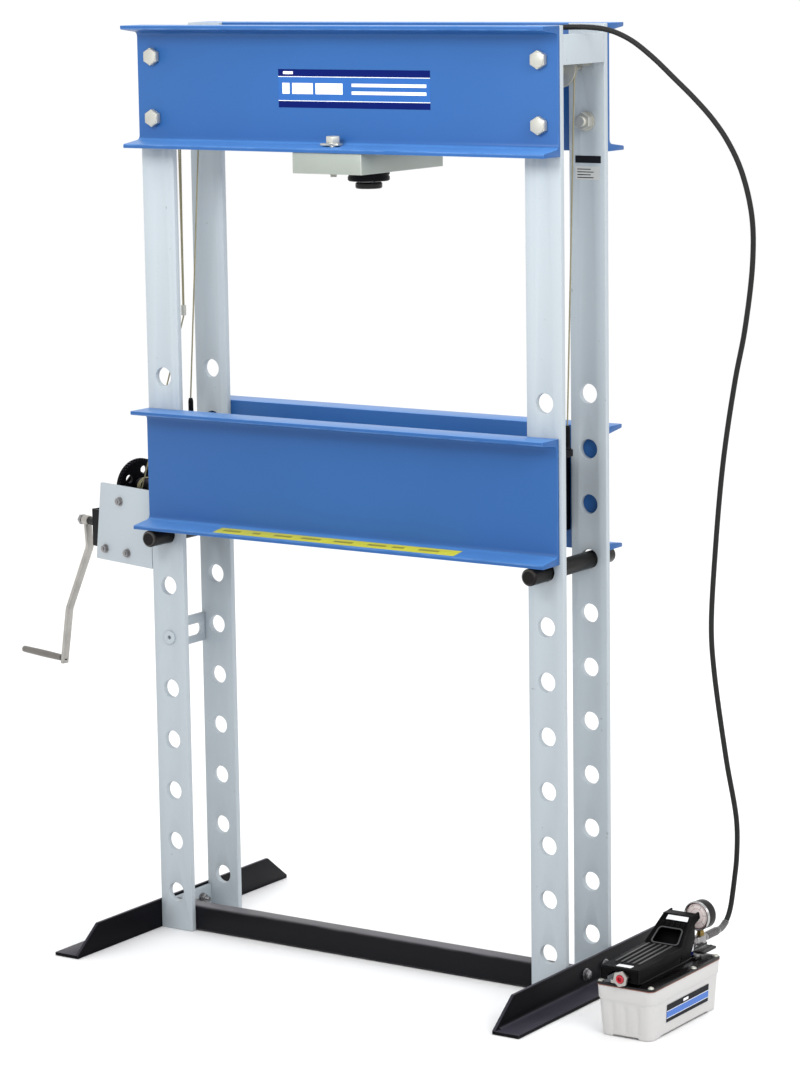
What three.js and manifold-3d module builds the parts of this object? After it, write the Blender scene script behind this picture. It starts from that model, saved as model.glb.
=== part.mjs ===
// Hydraulic H-frame shop press with a winched bolster and a treadle pump.
// Millimetres, +Z up, +X to the operator's right, -Y towards the operator.
// The origin is on the floor, midway between the four uprights.
import * as THREE from 'three';
import { mergeVertices } from 'three/addons/utils/BufferGeometryUtils.js';
import Module from 'manifold-3d';

const wasm = await Module();
wasm.setup();

// Driving dimensions.
const GAP = 0.3; // clearance between pieces that touch
const HOLE_PITCH = 101.6;
const HOLE_COUNT = 11;
const FIRST_HOLE_Z = 76.2;
const HOLE_RADIUS = 18;
const PIN_RADIUS = 15.9;
const PIN_DROP = 1.5; // how far a loaded pin sits below its hole's centre
const PIN_HOLE_INDEX = 7; // counted from the floor
const BAR_X = 426; // hole line of each upright
const BAR_Y = 76.8; // mid-plane of the front and rear bars
const BAR_WIDTH = 74;
const BAR_THICKNESS = 12;
const FRAME_HEIGHT = 1759;
const CHANNEL_DEPTH = 228.6;
const CHANNEL_FLANGE = 57;
const CHANNEL_WEB = 6;
const CROSSHEAD_BOTTOM = 1530.5;
const BOLSTER_SIDE_CLEARANCE = 0.9;
const BOLSTER_RIGHT_END = 456;
const PRESS_STROKE = 150;

// Dimensions that follow from them.
const BAR_OUTER_X = BAR_X + BAR_WIDTH / 2;
const BAR_INNER_X = BAR_X - BAR_WIDTH / 2;
const BAR_OUTER_Y = BAR_Y + BAR_THICKNESS / 2;
const BAR_INNER_Y = BAR_Y - BAR_THICKNESS / 2;
const PIN_Z = FIRST_HOLE_Z + PIN_HOLE_INDEX * HOLE_PITCH - PIN_DROP;
const BOLSTER_BOTTOM = PIN_Z + PIN_RADIUS + GAP;
const WEB_INNER_Y = BAR_OUTER_Y + GAP;
const BOLSTER_WEB_Y = BAR_OUTER_Y + BOLSTER_SIDE_CLEARANCE;
const PLATE_TOP = CROSSHEAD_BOTTOM - GAP;
const PLATE_THICKNESS = 38.1;
const PLATE_BOTTOM = PLATE_TOP - PLATE_THICKNESS;

function finish(color, roughness, metalness) {
  return () => new THREE.MeshStandardMaterial({ color, roughness, metalness });
}
const bluePaint = finish(0x3f6fb8, 0.4, 0.1);
const greyPaint = finish(0xbfcad1, 0.45, 0.3);
const blackPaint = finish(0x1c1b1f, 0.5, 0.1);
const bareSteel = finish(0xb4bab4, 0.4, 0.8);
const zinc = finish(0xc9cbc4, 0.35, 0.8);
const chrome = finish(0xdfe2e4, 0.12, 1.0);
const darkSteel = finish(0x35332f, 0.45, 0.7);
const brass = finish(0xa98d4a, 0.35, 0.9);
const wireRope = finish(0x8f8a6c, 0.5, 0.7);
const ivoryPlastic = finish(0xdcdad2, 0.45, 0.0);
const blackPlastic = finish(0x19191b, 0.5, 0.0);
const hoseRubber = finish(0x1a1815, 0.6, 0.0);
const dialWhite = finish(0xe6e6e2, 0.4, 0.0);

// ---------------------------------------------------------------- helpers
function toSolid(geometry) {
  const bare = geometry.index ? geometry.toNonIndexed() : geometry.clone();
  for (const name of Object.keys(bare.attributes)) {
    if (name !== 'position') bare.deleteAttribute(name);
  }
  const merged = mergeVertices(bare, 1e-4);
  const vertProperties = new Float32Array(merged.attributes.position.array);
  const triVerts = new Uint32Array(merged.index.array);
  if (signedVolume(vertProperties, triVerts) < 0) triVerts.reverse();
  return new wasm.Manifold(new wasm.Mesh({ numProp: 3, vertProperties, triVerts }));
}

// Below zero when a mesh's faces point inwards, as a turned profile drawn downwards gives.
function signedVolume(positions, triangles) {
  const corner = (i) => new THREE.Vector3().fromArray(positions, 3 * triangles[i]);
  let sum = 0;
  for (let i = 0; i < triangles.length; i += 3) {
    sum += corner(i).dot(corner(i + 1).cross(corner(i + 2)));
  }
  return sum / 6;
}

function toGeometry(solid) {
  const mesh = solid.getMesh();
  const geometry = new THREE.BufferGeometry();
  geometry.setAttribute('position', new THREE.BufferAttribute(new Float32Array(mesh.vertProperties), 3));
  geometry.setIndex(new THREE.BufferAttribute(new Uint32Array(mesh.triVerts), 1));
  geometry.computeVertexNormals();
  return geometry;
}

function box([x0, x1], [y0, y1], [z0, z1]) {
  const geometry = new THREE.BoxGeometry(x1 - x0, y1 - y0, z1 - z0);
  geometry.translate((x0 + x1) / 2, (y0 + y1) / 2, (z0 + z1) / 2);
  return toSolid(geometry);
}

// A cylinder or cone between two places on one axis; "at" holds the other two coordinates.
function rod(axis, from, to, at, radius, segments = 24, endRadius = radius) {
  const geometry = new THREE.CylinderGeometry(endRadius, radius, to - from, segments);
  const middle = (from + to) / 2;
  if (axis === 'x') {
    geometry.rotateZ(-Math.PI / 2);
    geometry.translate(middle, at[0], at[1]);
  } else if (axis === 'y') {
    geometry.translate(at[0], middle, at[1]);
  } else {
    geometry.rotateX(Math.PI / 2);
    geometry.translate(at[0], at[1], middle);
  }
  return toSolid(geometry);
}

// An outline extruded along one axis. Along x it is drawn in (y, z), along y in (x, z), along z in (x, y).
function prism(axis, shape, from, to, curveSegments = 5) {
  const geometry = new THREE.ExtrudeGeometry(shape, { depth: to - from, bevelEnabled: false, curveSegments });
  const x = new THREE.Vector3(1, 0, 0);
  const y = new THREE.Vector3(0, 1, 0);
  const z = new THREE.Vector3(0, 0, 1);
  if (axis === 'x') {
    geometry.applyMatrix4(new THREE.Matrix4().makeBasis(y, z, x));
    geometry.translate(from, 0, 0);
  } else if (axis === 'y') {
    geometry.applyMatrix4(new THREE.Matrix4().makeBasis(x, z, y.clone().negate()));
    geometry.translate(0, to, 0);
  } else {
    geometry.translate(0, 0, from);
  }
  return toSolid(geometry);
}

function polygon(points) {
  return new THREE.Shape(points.map(([a, b]) => new THREE.Vector2(a, b)));
}

function roundedRectangle(halfWidth, halfHeight, radius) {
  const shape = new THREE.Shape();
  const w = halfWidth - radius;
  const h = halfHeight - radius;
  shape.absarc(w, h, radius, 0, Math.PI / 2);
  shape.absarc(-w, h, radius, Math.PI / 2, Math.PI);
  shape.absarc(-w, -h, radius, Math.PI, 1.5 * Math.PI);
  shape.absarc(w, -h, radius, 1.5 * Math.PI, 2 * Math.PI);
  return shape;
}

function turned(profile, segments = 32) {
  return new THREE.LatheGeometry(profile.map(([r, h]) => new THREE.Vector2(r, h)), segments);
}

// A round tube along a list of points, with flat ends.
function tube(points, radius, sides, steps, straight = false) {
  const vectors = points.map((p) => new THREE.Vector3(...p));
  let path;
  if (straight) {
    path = new THREE.CurvePath();
    for (let i = 1; i < vectors.length; i += 1) path.add(new THREE.LineCurve3(vectors[i - 1], vectors[i]));
  } else {
    path = new THREE.CatmullRomCurve3(vectors, false, 'centripetal');
  }
  const section = new THREE.Shape();
  for (let i = 0; i < sides; i += 1) {
    const angle = (2 * Math.PI * i) / sides;
    const [a, b] = [radius * Math.cos(angle), radius * Math.sin(angle)];
    if (i === 0) section.moveTo(a, b);
    else section.lineTo(a, b);
  }
  section.closePath();
  return toSolid(new THREE.ExtrudeGeometry(section, { steps, bevelEnabled: false, extrudePath: path }));
}

const press = new THREE.Group();
press.name = 'shop_press';

function add(name, solid, material, parent = press) {
  const geometry = solid instanceof THREE.BufferGeometry ? solid : toGeometry(solid);
  const mesh = new THREE.Mesh(geometry, material());
  mesh.name = name;
  parent.add(mesh);
  return mesh;
}

function union(first, ...others) {
  return others.reduce((sum, solid) => sum.add(solid), first);
}

function cut(first, ...others) {
  return others.reduce((rest, solid) => rest.subtract(solid), first);
}

const sides = [
  { name: 'left', sign: -1 },
  { name: 'right', sign: 1 },
];
const faces = [
  { name: 'front', sign: -1 },
  { name: 'rear', sign: 1 },
];

// ---------------------------------------------------------------- uprights
const BOLT_RADIUS = 9.5;
const BOLT_HEIGHTS = { lower: 1585, upper: 1700 };
const SHEAVE_Z = 1680;
const SHEAVE_PITCH_RADIUS = 29;
const SHEAVE_X = { left: -407, right: 411.7 };
const AXLE_RADIUS = 5;
const BUSHING_HOLE_INDEX = 5;
const BUSHING_RADIUS = 8;

function uprightSolid(side, face) {
  const outline = polygon([
    [-BAR_WIDTH / 2, 0],
    [BAR_WIDTH / 2, 0],
    [BAR_WIDTH / 2, FRAME_HEIGHT],
    [-BAR_WIDTH / 2, FRAME_HEIGHT],
  ]);
  function hole(x, z, radius) {
    const path = new THREE.Path();
    path.absarc(x, z, radius, 0, 2 * Math.PI, true);
    outline.holes.push(path);
  }
  for (let i = 0; i < HOLE_COUNT; i += 1) {
    const plugged = side.name === 'left' && face.name === 'front' && i === BUSHING_HOLE_INDEX;
    hole(0, FIRST_HOLE_Z + i * HOLE_PITCH, plugged ? BUSHING_RADIUS + GAP : HOLE_RADIUS);
  }
  for (const z of Object.values(BOLT_HEIGHTS)) hole(0, z, BOLT_RADIUS + GAP);
  hole(SHEAVE_X[side.name] - side.sign * BAR_X, SHEAVE_Z, AXLE_RADIUS + GAP);
  return prism('y', outline, -BAR_THICKNESS / 2, BAR_THICKNESS / 2, 10);
}

for (const face of faces) {
  for (const side of sides) {
    const upright = add(`upright_${face.name}_${side.name}`, uprightSolid(side, face), greyPaint);
    upright.position.set(side.sign * BAR_X, face.sign * BAR_Y, 0);
  }
}

// A hollow bushing in the one small hole of the front left upright.
{
  const profile = [
    [4, -BAR_THICKNESS / 2 - 3],
    [BUSHING_RADIUS + 5, -BAR_THICKNESS / 2 - 3],
    [BUSHING_RADIUS + 5, -BAR_THICKNESS / 2 - GAP],
    [BUSHING_RADIUS, -BAR_THICKNESS / 2 - GAP],
    [BUSHING_RADIUS, BAR_THICKNESS / 2 + 5],
    [4, BAR_THICKNESS / 2 + 5],
    [4, -BAR_THICKNESS / 2 - 3],
  ];
  const bushing = add('guide_bushing', toSolid(turned(profile, 24)), zinc);
  bushing.position.set(-BAR_X, -BAR_Y, FIRST_HOLE_Z + BUSHING_HOLE_INDEX * HOLE_PITCH);
}

// ---------------------------------------------------------------- channels
const FLANGE_TIP = 7.5;
const FLANGE_ROOT = 14;
const ROOT_RADIUS = 9;

// Web against y = 0, flanges reaching to y = CHANNEL_FLANGE, bottom at z = 0.
function channelShape() {
  const top = CHANNEL_DEPTH;
  const slope = (FLANGE_ROOT - FLANGE_TIP) / (CHANNEL_FLANGE - CHANNEL_WEB);
  const inner = CHANNEL_WEB + ROOT_RADIUS;
  const innerHeight = FLANGE_ROOT - slope * ROOT_RADIUS;
  const shape = new THREE.Shape();
  shape.moveTo(0, 0);
  shape.lineTo(CHANNEL_FLANGE, 0);
  shape.lineTo(CHANNEL_FLANGE, FLANGE_TIP - 3);
  shape.quadraticCurveTo(CHANNEL_FLANGE, FLANGE_TIP, CHANNEL_FLANGE - 3, FLANGE_TIP + 3 * slope);
  shape.lineTo(inner, innerHeight);
  shape.quadraticCurveTo(CHANNEL_WEB, FLANGE_ROOT, CHANNEL_WEB, FLANGE_ROOT + ROOT_RADIUS);
  shape.lineTo(CHANNEL_WEB, top - FLANGE_ROOT - ROOT_RADIUS);
  shape.quadraticCurveTo(CHANNEL_WEB, top - FLANGE_ROOT, inner, top - innerHeight);
  shape.lineTo(CHANNEL_FLANGE - 3, top - FLANGE_TIP - 3 * slope);
  shape.quadraticCurveTo(CHANNEL_FLANGE, top - FLANGE_TIP, CHANNEL_FLANGE, top - FLANGE_TIP + 3);
  shape.lineTo(CHANNEL_FLANGE, top);
  shape.lineTo(0, top);
  shape.closePath();
  return shape;
}

// A plain length of channel, drawn for the rear; the front one is the same turned round.
function channelSolid(ends, cutters) {
  return cut(prism('x', channelShape(), ...ends, 4), ...cutters);
}

function addChannel(name, face, webY, bottom, rightEnd, cutters) {
  const ends = face.sign > 0 ? [-BAR_OUTER_X, rightEnd] : [-rightEnd, BAR_OUTER_X];
  const channel = add(name, channelSolid(ends, cutters), bluePaint);
  channel.position.set(0, face.sign * webY, bottom);
  if (face.sign < 0) channel.rotation.z = Math.PI;
  return channel;
}

const CLAMP_BOLT_RADIUS = 6.4;
const CLAMP_BOLT_Y = 114;
for (const face of faces) {
  const cutters = [];
  for (const side of sides) {
    for (const z of Object.values(BOLT_HEIGHTS)) {
      const at = [side.sign * BAR_X, z - CROSSHEAD_BOTTOM];
      cutters.push(rod('y', -1, CHANNEL_WEB + 1, at, BOLT_RADIUS + GAP, 14));
    }
  }
  const clampAt = [0, CLAMP_BOLT_Y - WEB_INNER_Y];
  cutters.push(rod('z', -1, FLANGE_ROOT + 4, clampAt, CLAMP_BOLT_RADIUS + GAP, 16));
  addChannel(`crosshead_${face.name}_channel`, face, WEB_INNER_Y, CROSSHEAD_BOTTOM, BAR_OUTER_X, cutters);
}

// ---------------------------------------------------------------- crosshead bolts
const BOLT_HEAD_ACROSS = 29;
const BOLT_HEAD_HEIGHT = 12;
const NUT_HEIGHT = 16;

// Built along +Y: head outside the web at y < 0, nut inside the bar.
function frameBoltSolid() {
  const hexRadius = BOLT_HEAD_ACROSS / Math.sqrt(3);
  const grip = CHANNEL_WEB + GAP + BAR_THICKNESS;
  const head = rod('y', -BOLT_HEAD_HEIGHT - GAP, -GAP, [0, 0], hexRadius, 6);
  const shank = rod('y', -GAP - 1, grip + NUT_HEIGHT + 9, [0, 0], BOLT_RADIUS, 14);
  const washer = rod('y', grip + GAP, grip + GAP + 3, [0, 0], 17.5, 16);
  const nut = rod('y', grip + GAP + 2, grip + GAP + 3 + NUT_HEIGHT, [0, 0], hexRadius, 6);
  return union(head, shank, washer, nut);
}

for (const face of faces) {
  for (const side of sides) {
    for (const [level, z] of Object.entries(BOLT_HEIGHTS)) {
      const bolt = add(`crosshead_bolt_${face.name}_${side.name}_${level}`, frameBoltSolid(), zinc);
      bolt.position.set(side.sign * BAR_X, face.sign * (WEB_INNER_Y + CHANNEL_WEB), z);
      if (face.sign > 0) bolt.rotation.z = Math.PI;
    }
  }
}

// ---------------------------------------------------------------- straps between front and rear bars
const STRAP_THICKNESS = 8;
const STRAP_HALF = BAR_INNER_Y - GAP;

function strapRange(side, thickness) {
  const outer = BAR_OUTER_X;
  return side.sign > 0 ? [outer - thickness, outer] : [-outer, -outer + thickness];
}

for (const side of sides) {
  const strap = box(strapRange(side, STRAP_THICKNESS), [-STRAP_HALF, STRAP_HALF], [1690, 1743]);
  add(`top_strap_${side.name}`, strap, greyPaint);
}
{
  const left = sides[0];
  const strap = box(strapRange(left, STRAP_THICKNESS), [-STRAP_HALF, STRAP_HALF], [550, 606]);
  const through = [-BAR_OUTER_X - 1, -BAR_OUTER_X + STRAP_THICKNESS + 1];
  const slot = box(through, [-49, 49], [564, 588]);
  const ends = [-49, 49].map((y) => rod('x', ...through, [y, 576], 12, 20));
  add('guide_strap_left', cut(strap, slot, ...ends), greyPaint);
}

// ---------------------------------------------------------------- ram plate, cylinder and ram
const CYLINDER_RADIUS = 43;
const CYLINDER_TOP = 1698;
const COLLAR_RADIUS = 36;
const GLAND_RADIUS = 39;
const GLAND_BOTTOM = 1472;
const RAM_RADIUS = 24;
const RAM_CAP_RADIUS = 25;
const RAM_TIP = 1458;
const BORE_RADIUS = RAM_RADIUS + 1;
const BORE_TOP = PLATE_BOTTOM + PRESS_STROKE + 20;
const PORT_Z = 1662;
const PORT_FACE_X = CYLINDER_RADIUS + 7;
{
  const body = box([-76, 76], [-136.5, 136.5], [PLATE_BOTTOM, PLATE_TOP]);
  const bore = rod('z', PLATE_BOTTOM - 1, PLATE_TOP + 1, [0, 0], COLLAR_RADIUS + GAP, 28);
  const holes = faces.map((face) => {
    const at = [0, face.sign * CLAMP_BOLT_Y];
    return rod('z', PLATE_BOTTOM - 1, PLATE_TOP + 1, at, CLAMP_BOLT_RADIUS + GAP, 16);
  });
  add('cylinder_plate', cut(body, bore, ...holes), bareSteel);
}

for (const face of faces) {
  const at = [0, face.sign * CLAMP_BOLT_Y];
  const seat = CROSSHEAD_BOTTOM + 12.4;
  const clip = box([-24, 16], [at[1] - 9, at[1] + 9], [seat, seat + 4]);
  const head = rod('z', seat + 3, seat + 15, at, 11, 6);
  const shank = rod('z', PLATE_BOTTOM - 6, seat + 4, at, CLAMP_BOLT_RADIUS, 16);
  add(`plate_clamp_${face.name}`, union(clip, head, shank), zinc);
}

// The barrel screws into the plate by its collar and is open below, where the ram comes out.
{
  const profile = [
    [0, BORE_TOP],
    [BORE_RADIUS, BORE_TOP],
    [BORE_RADIUS, PLATE_BOTTOM],
    [COLLAR_RADIUS, PLATE_BOTTOM],
    [COLLAR_RADIUS, PLATE_TOP + GAP],
    [CYLINDER_RADIUS, PLATE_TOP + GAP],
    [CYLINDER_RADIUS, CYLINDER_TOP - 6],
    [CYLINDER_RADIUS - 6, CYLINDER_TOP],
    [0, CYLINDER_TOP],
  ];
  const barrel = toSolid(turned(profile, 28).rotateX(Math.PI / 2));
  const port = rod('x', CYLINDER_RADIUS - 5, PORT_FACE_X, [0, PORT_Z], 13, 20);
  add('cylinder_body', union(barrel, port), bluePaint);
}
{
  const profile = [
    [RAM_RADIUS + 0.6, GLAND_BOTTOM],
    [GLAND_RADIUS - 2, GLAND_BOTTOM],
    [GLAND_RADIUS, GLAND_BOTTOM + 2],
    [GLAND_RADIUS, PLATE_BOTTOM - GAP],
    [RAM_RADIUS + 0.6, PLATE_BOTTOM - GAP],
    [RAM_RADIUS + 0.6, GLAND_BOTTOM],
  ];
  add('gland_ring', toSolid(turned(profile, 28).rotateX(Math.PI / 2)), darkSteel);
}
{
  const profile = [
    [0, RAM_TIP],
    [RAM_CAP_RADIUS - 2, RAM_TIP],
    [RAM_CAP_RADIUS, RAM_TIP + 2],
    [RAM_CAP_RADIUS, RAM_TIP + 10],
    [RAM_RADIUS - 2, RAM_TIP + 12],
    [RAM_RADIUS, RAM_TIP + 13],
    [RAM_RADIUS, PLATE_BOTTOM + PRESS_STROKE + 8],
    [0, PLATE_BOTTOM + PRESS_STROKE + 8],
  ];
  add('ram', toSolid(turned(profile, 28).rotateX(Math.PI / 2)), chrome);
}

// ---------------------------------------------------------------- bolster
const SPACER_X = [338, 380];
const SPACER_Z = [BOLSTER_BOTTOM + 34, BOLSTER_BOTTOM + 184];
const LUG_TOP = SPACER_Z[1] + 12;
const ANCHOR_X = 424;
const ANCHOR_TOP = LUG_TOP + 44;
const ANCHOR_RADIUS = 5;

for (const face of faces) {
  addChannel(`bolster_${face.name}_channel`, face, BOLSTER_WEB_Y, BOLSTER_BOTTOM, BOLSTER_RIGHT_END, []);
}

// A block between the channels, with a lug that carries the end of the lifting cable.
for (const side of sides) {
  const along = ([a, b]) => (side.sign > 0 ? [a, b] : [-b, -a]);
  const halfWidth = BOLSTER_WEB_Y - GAP;
  const block = box(along(SPACER_X), [-halfWidth, halfWidth], SPACER_Z);
  const lug = box(along([SPACER_X[0] + 4, ANCHOR_X + ANCHOR_RADIUS]), [-15, 15], [SPACER_Z[1] - 1, LUG_TOP]);
  const ferrule = rod('z', LUG_TOP - 1, ANCHOR_TOP, [side.sign * ANCHOR_X, 0], ANCHOR_RADIUS, 14);
  add(`bolster_spacer_${side.name}`, union(block, lug, ferrule), blackPaint);
}

const PIN_HALF_LENGTH = 143;
for (const side of sides) {
  const body = rod('y', -PIN_HALF_LENGTH + 3, PIN_HALF_LENGTH - 3, [0, 0], PIN_RADIUS, 24);
  const front = rod('y', -PIN_HALF_LENGTH, -PIN_HALF_LENGTH + 3, [0, 0], PIN_RADIUS - 3, 24, PIN_RADIUS);
  const rear = rod('y', PIN_HALF_LENGTH - 3, PIN_HALF_LENGTH, [0, 0], PIN_RADIUS, 24, PIN_RADIUS - 3);
  const pin = add(`bolster_pin_${side.name}`, union(body, front, rear), blackPaint);
  pin.position.set(side.sign * BAR_X, 0, PIN_Z);
}

// ---------------------------------------------------------------- base
const FOOT_LEG = 56;
const FOOT_THICKNESS = 6.3;
const FOOT_HALF_LENGTH = 345;
const FOOT_TOP_HALF_LENGTH = 280;
const FOOT_SHIFT = { left: -3, right: 6 }; // the feet are bolted on a little out of line
const BEAM_HEIGHT = 50.8;
const BEAM_DEPTH = 34;
const BASE_PLATE_HEIGHT = 52;

for (const side of sides) {
  const inner = BAR_OUTER_X + GAP;
  const along = ([a, b]) => (side.sign > 0 ? [a, b] : [-b, -a]);
  const wall = polygon([
    [-FOOT_HALF_LENGTH, 0],
    [FOOT_HALF_LENGTH, 0],
    [FOOT_HALF_LENGTH, FOOT_THICKNESS],
    [FOOT_TOP_HALF_LENGTH, FOOT_LEG],
    [-FOOT_TOP_HALF_LENGTH, FOOT_LEG],
    [-FOOT_HALF_LENGTH, FOOT_THICKNESS],
  ]);
  const upright = prism('x', wall, ...along([inner, inner + FOOT_THICKNESS]));
  const lengthwise = [-FOOT_HALF_LENGTH, FOOT_HALF_LENGTH];
  const sole = box(along([inner, inner + FOOT_LEG]), lengthwise, [0, FOOT_THICKNESS]);
  const foot = add(`foot_${side.name}`, union(upright, sole), blackPaint);
  foot.position.y = FOOT_SHIFT[side.name];

  const plate = box(strapRange(side, STRAP_THICKNESS), [-STRAP_HALF, STRAP_HALF], [GAP, BASE_PLATE_HEIGHT]);
  add(`base_plate_${side.name}`, plate, greyPaint);
}
{
  const halfLength = BAR_OUTER_X - STRAP_THICKNESS - GAP;
  const front = -BAR_INNER_Y + GAP;
  const outer = box([-halfLength, halfLength], [front, front + BEAM_DEPTH], [0, BEAM_HEIGHT]);
  const hollowDepth = [front + 4, front + BEAM_DEPTH - 4];
  const hollow = box([-halfLength - 1, halfLength + 1], hollowDepth, [4, BEAM_HEIGHT - 4]);
  add('cross_beam', cut(outer, hollow), blackPaint);
}

// ---------------------------------------------------------------- winch
// Its own group: x runs along the plate towards the upright, y goes back from the plate's face.
const WINCH_TURN = THREE.MathUtils.degToRad(-15);
const WINCH_PLACE = new THREE.Vector3(-BAR_OUTER_X - 0.4, -BAR_OUTER_Y, 0);
const winch = new THREE.Group();
winch.position.copy(WINCH_PLACE);
winch.rotation.z = WINCH_TURN;
press.add(winch);

const WINCH_PLATE_THICKNESS = 6;
const WINCH_BACK = WINCH_PLATE_THICKNESS + GAP;
const CHEEK = 4;
const LEFT_CHEEK_X = -201;
const MIDDLE_CHEEK_X = -132;
const RIGHT_CHEEK_X = -54;
const DRUM_AXIS = [66, 858]; // y and z
const CRANK_AXIS = [46, 775];
const GEAR_RADIUS = 55;
const GEAR_X = [-124, -117];
const DRUM_CORE_RADIUS = 17;
const DRUM_CORE_END = -62;
const SHAFT_RADIUS = 7;
const CRANK_SHAFT_RADIUS = 8;
const CABLE_RADIUS = 1.6;
const AXIS_SPACING = Math.hypot(DRUM_AXIS[0] - CRANK_AXIS[0], DRUM_AXIS[1] - CRANK_AXIS[1]);
const PINION_RADIUS = AXIS_SPACING - GEAR_RADIUS - 0.5;
const CABLE_LEAVES_X = -90;
const CABLE_WRAP_RADIUS = DRUM_CORE_RADIUS + CABLE_RADIUS + 0.4;

{
  const outline = polygon([
    [-182, 715],
    [-2.4, 715],
    [-2.4, 868],
    [-162, 868],
  ]);
  add('winch_plate', prism('y', outline, 0, WINCH_PLATE_THICKNESS), greyPaint, winch);
}
{
  const y0 = WINCH_BACK;
  const y1 = WINCH_BACK + 3;
  const base = box([LEFT_CHEEK_X, RIGHT_CHEEK_X + CHEEK], [y0, y1], [737, 811]);
  const tab = box([MIDDLE_CHEEK_X, RIGHT_CHEEK_X + CHEEK], [y0, y1], [810, 850]);
  const low = polygon([[y0, 737], [70, 737], [70, 802], [62, 811], [y0, 811]]);
  const tall = polygon([
    [y0, 737], [76, 737], [90, 840], [90, 872], [78, 884], [54, 884], [42, 872], [30, 850], [y0, 850],
  ]);
  const left = prism('x', low, LEFT_CHEEK_X, LEFT_CHEEK_X + CHEEK);
  const middle = prism('x', tall, MIDDLE_CHEEK_X, MIDDLE_CHEEK_X + CHEEK);
  const right = prism('x', tall, RIGHT_CHEEK_X, RIGHT_CHEEK_X + CHEEK);
  const crankBore = rod('x', -215, -40, CRANK_AXIS, CRANK_SHAFT_RADIUS + 0.4, 20);
  const drumBore = rod('x', -140, -40, DRUM_AXIS, SHAFT_RADIUS + 0.4, 20);
  add('winch_frame', cut(union(base, tab, left, middle, right), crankBore, drumBore), blackPaint, winch);
}
{
  const shaft = rod('x', MIDDLE_CHEEK_X - 6, RIGHT_CHEEK_X + CHEEK + 6, DRUM_AXIS, SHAFT_RADIUS, 20);
  const core = rod('x', GEAR_X[1] - 1, DRUM_CORE_END, DRUM_AXIS, DRUM_CORE_RADIUS, 24);
  const gear = rod('x', ...GEAR_X, DRUM_AXIS, GEAR_RADIUS, 48);
  const flange = rod('x', DRUM_CORE_END - 1, DRUM_CORE_END + 3, DRUM_AXIS, 28, 28);
  const windows = [0, 1, 2, 3, 4].map((i) => {
    const angle = 0.07 + (2 * Math.PI * i) / 5;
    const at = [DRUM_AXIS[0] + 33 * Math.cos(angle), DRUM_AXIS[1] + 33 * Math.sin(angle)];
    return rod('x', GEAR_X[0] - 1, GEAR_X[1] + 1, at, 8, 14);
  });
  add('winch_drum', union(cut(gear, ...windows), shaft, core, flange), blackPaint, winch);
}

const CRANK_NUT_X = -291;
const CRANK_HUB_X = [-281, -262];
const ARM_HALF_WIDTH = 8;
const ARM_END_X = -364;
const ARM_END_Z = 470;
const GRIP_Z = 480;
const GRIP_X = [-500, -372];
const SPINDLE_RADIUS = 4;
{
  const shaft = rod('x', CRANK_NUT_X + 2, RIGHT_CHEEK_X + CHEEK + 4, CRANK_AXIS, CRANK_SHAFT_RADIUS, 20);
  const pinion = rod('x', ...GEAR_X, CRANK_AXIS, PINION_RADIUS, 32);
  const nut = rod('x', CRANK_NUT_X, CRANK_NUT_X + 9, CRANK_AXIS, 11, 6);
  const hub = rod('x', ...CRANK_HUB_X, CRANK_AXIS, 9.8, 20);
  const arm = polygon([
    [-267.5, 775], [-262.5, 720], [-337.5, 585], [ARM_END_X + 3.5, ARM_END_Z],
    [ARM_END_X - 3.5, ARM_END_Z], [-344.5, 587], [-269.5, 724], [-274.5, 775],
  ]);
  const armBar = prism('y', arm, CRANK_AXIS[0] - ARM_HALF_WIDTH, CRANK_AXIS[0] + ARM_HALF_WIDTH);
  const spindle = rod('x', GRIP_X[0] - 4, ARM_END_X + 1, [CRANK_AXIS[0], GRIP_Z], SPINDLE_RADIUS, 14);
  const stop = rod('x', GRIP_X[0] - 4, GRIP_X[0] - GAP, [CRANK_AXIS[0], GRIP_Z], 6.5, 16);
  add('winch_crank', union(shaft, pinion, nut, hub, armBar, spindle, stop), bareSteel, winch);
}
{
  const length = GRIP_X[1] - GRIP_X[0];
  const inner = SPINDLE_RADIUS + 0.4;
  const profile = [[inner, 0], [6.5, 0], [7.2, length / 2], [6.5, length], [inner, length], [inner, 0]];
  const sleeve = turned(profile, 18).rotateZ(-Math.PI / 2);
  sleeve.translate(GRIP_X[0], CRANK_AXIS[0], GRIP_Z);
  add('crank_grip', toSolid(sleeve), bareSteel, winch);
}

// ---------------------------------------------------------------- sheaves and lifting cables
const SHEAVE_RIM_RADIUS = 33;
const GROOVE_RADIUS = SHEAVE_PITCH_RADIUS - CABLE_RADIUS - 0.5;
const STRAND_Y = 4;
const FERRULE_X = SHEAVE_X.left - SHEAVE_PITCH_RADIUS;
const FERRULE_Z = [1202, 1222];
const CONVERGE_Z = 1357;

// A pulley with one groove at each y given, fixed on its own axle.
function sheaveSolid(grooves) {
  const axleHalf = BAR_OUTER_Y - GAP;
  const edge = STRAND_Y + 3.6;
  const start = grooves.length > 1 ? -edge : STRAND_Y - 3.6;
  const profile = [
    [0, -axleHalf],
    [AXLE_RADIUS, -axleHalf],
    [AXLE_RADIUS, start - 8],
    [10, start - 8],
    [10, start],
  ];
  for (const y of grooves) {
    profile.push([SHEAVE_RIM_RADIUS, y - 3.6]);
    profile.push([SHEAVE_RIM_RADIUS, y - 3.1]);
    profile.push([GROOVE_RADIUS, y - 2.2]);
    profile.push([GROOVE_RADIUS, y + 2.2]);
    profile.push([SHEAVE_RIM_RADIUS, y + 3.1]);
    profile.push([SHEAVE_RIM_RADIUS, y + 3.6]);
  }
  profile.push([10, edge], [10, edge + 8], [AXLE_RADIUS, edge + 8], [AXLE_RADIUS, axleHalf], [0, axleHalf]);
  return toSolid(turned(profile, 20));
}
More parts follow.
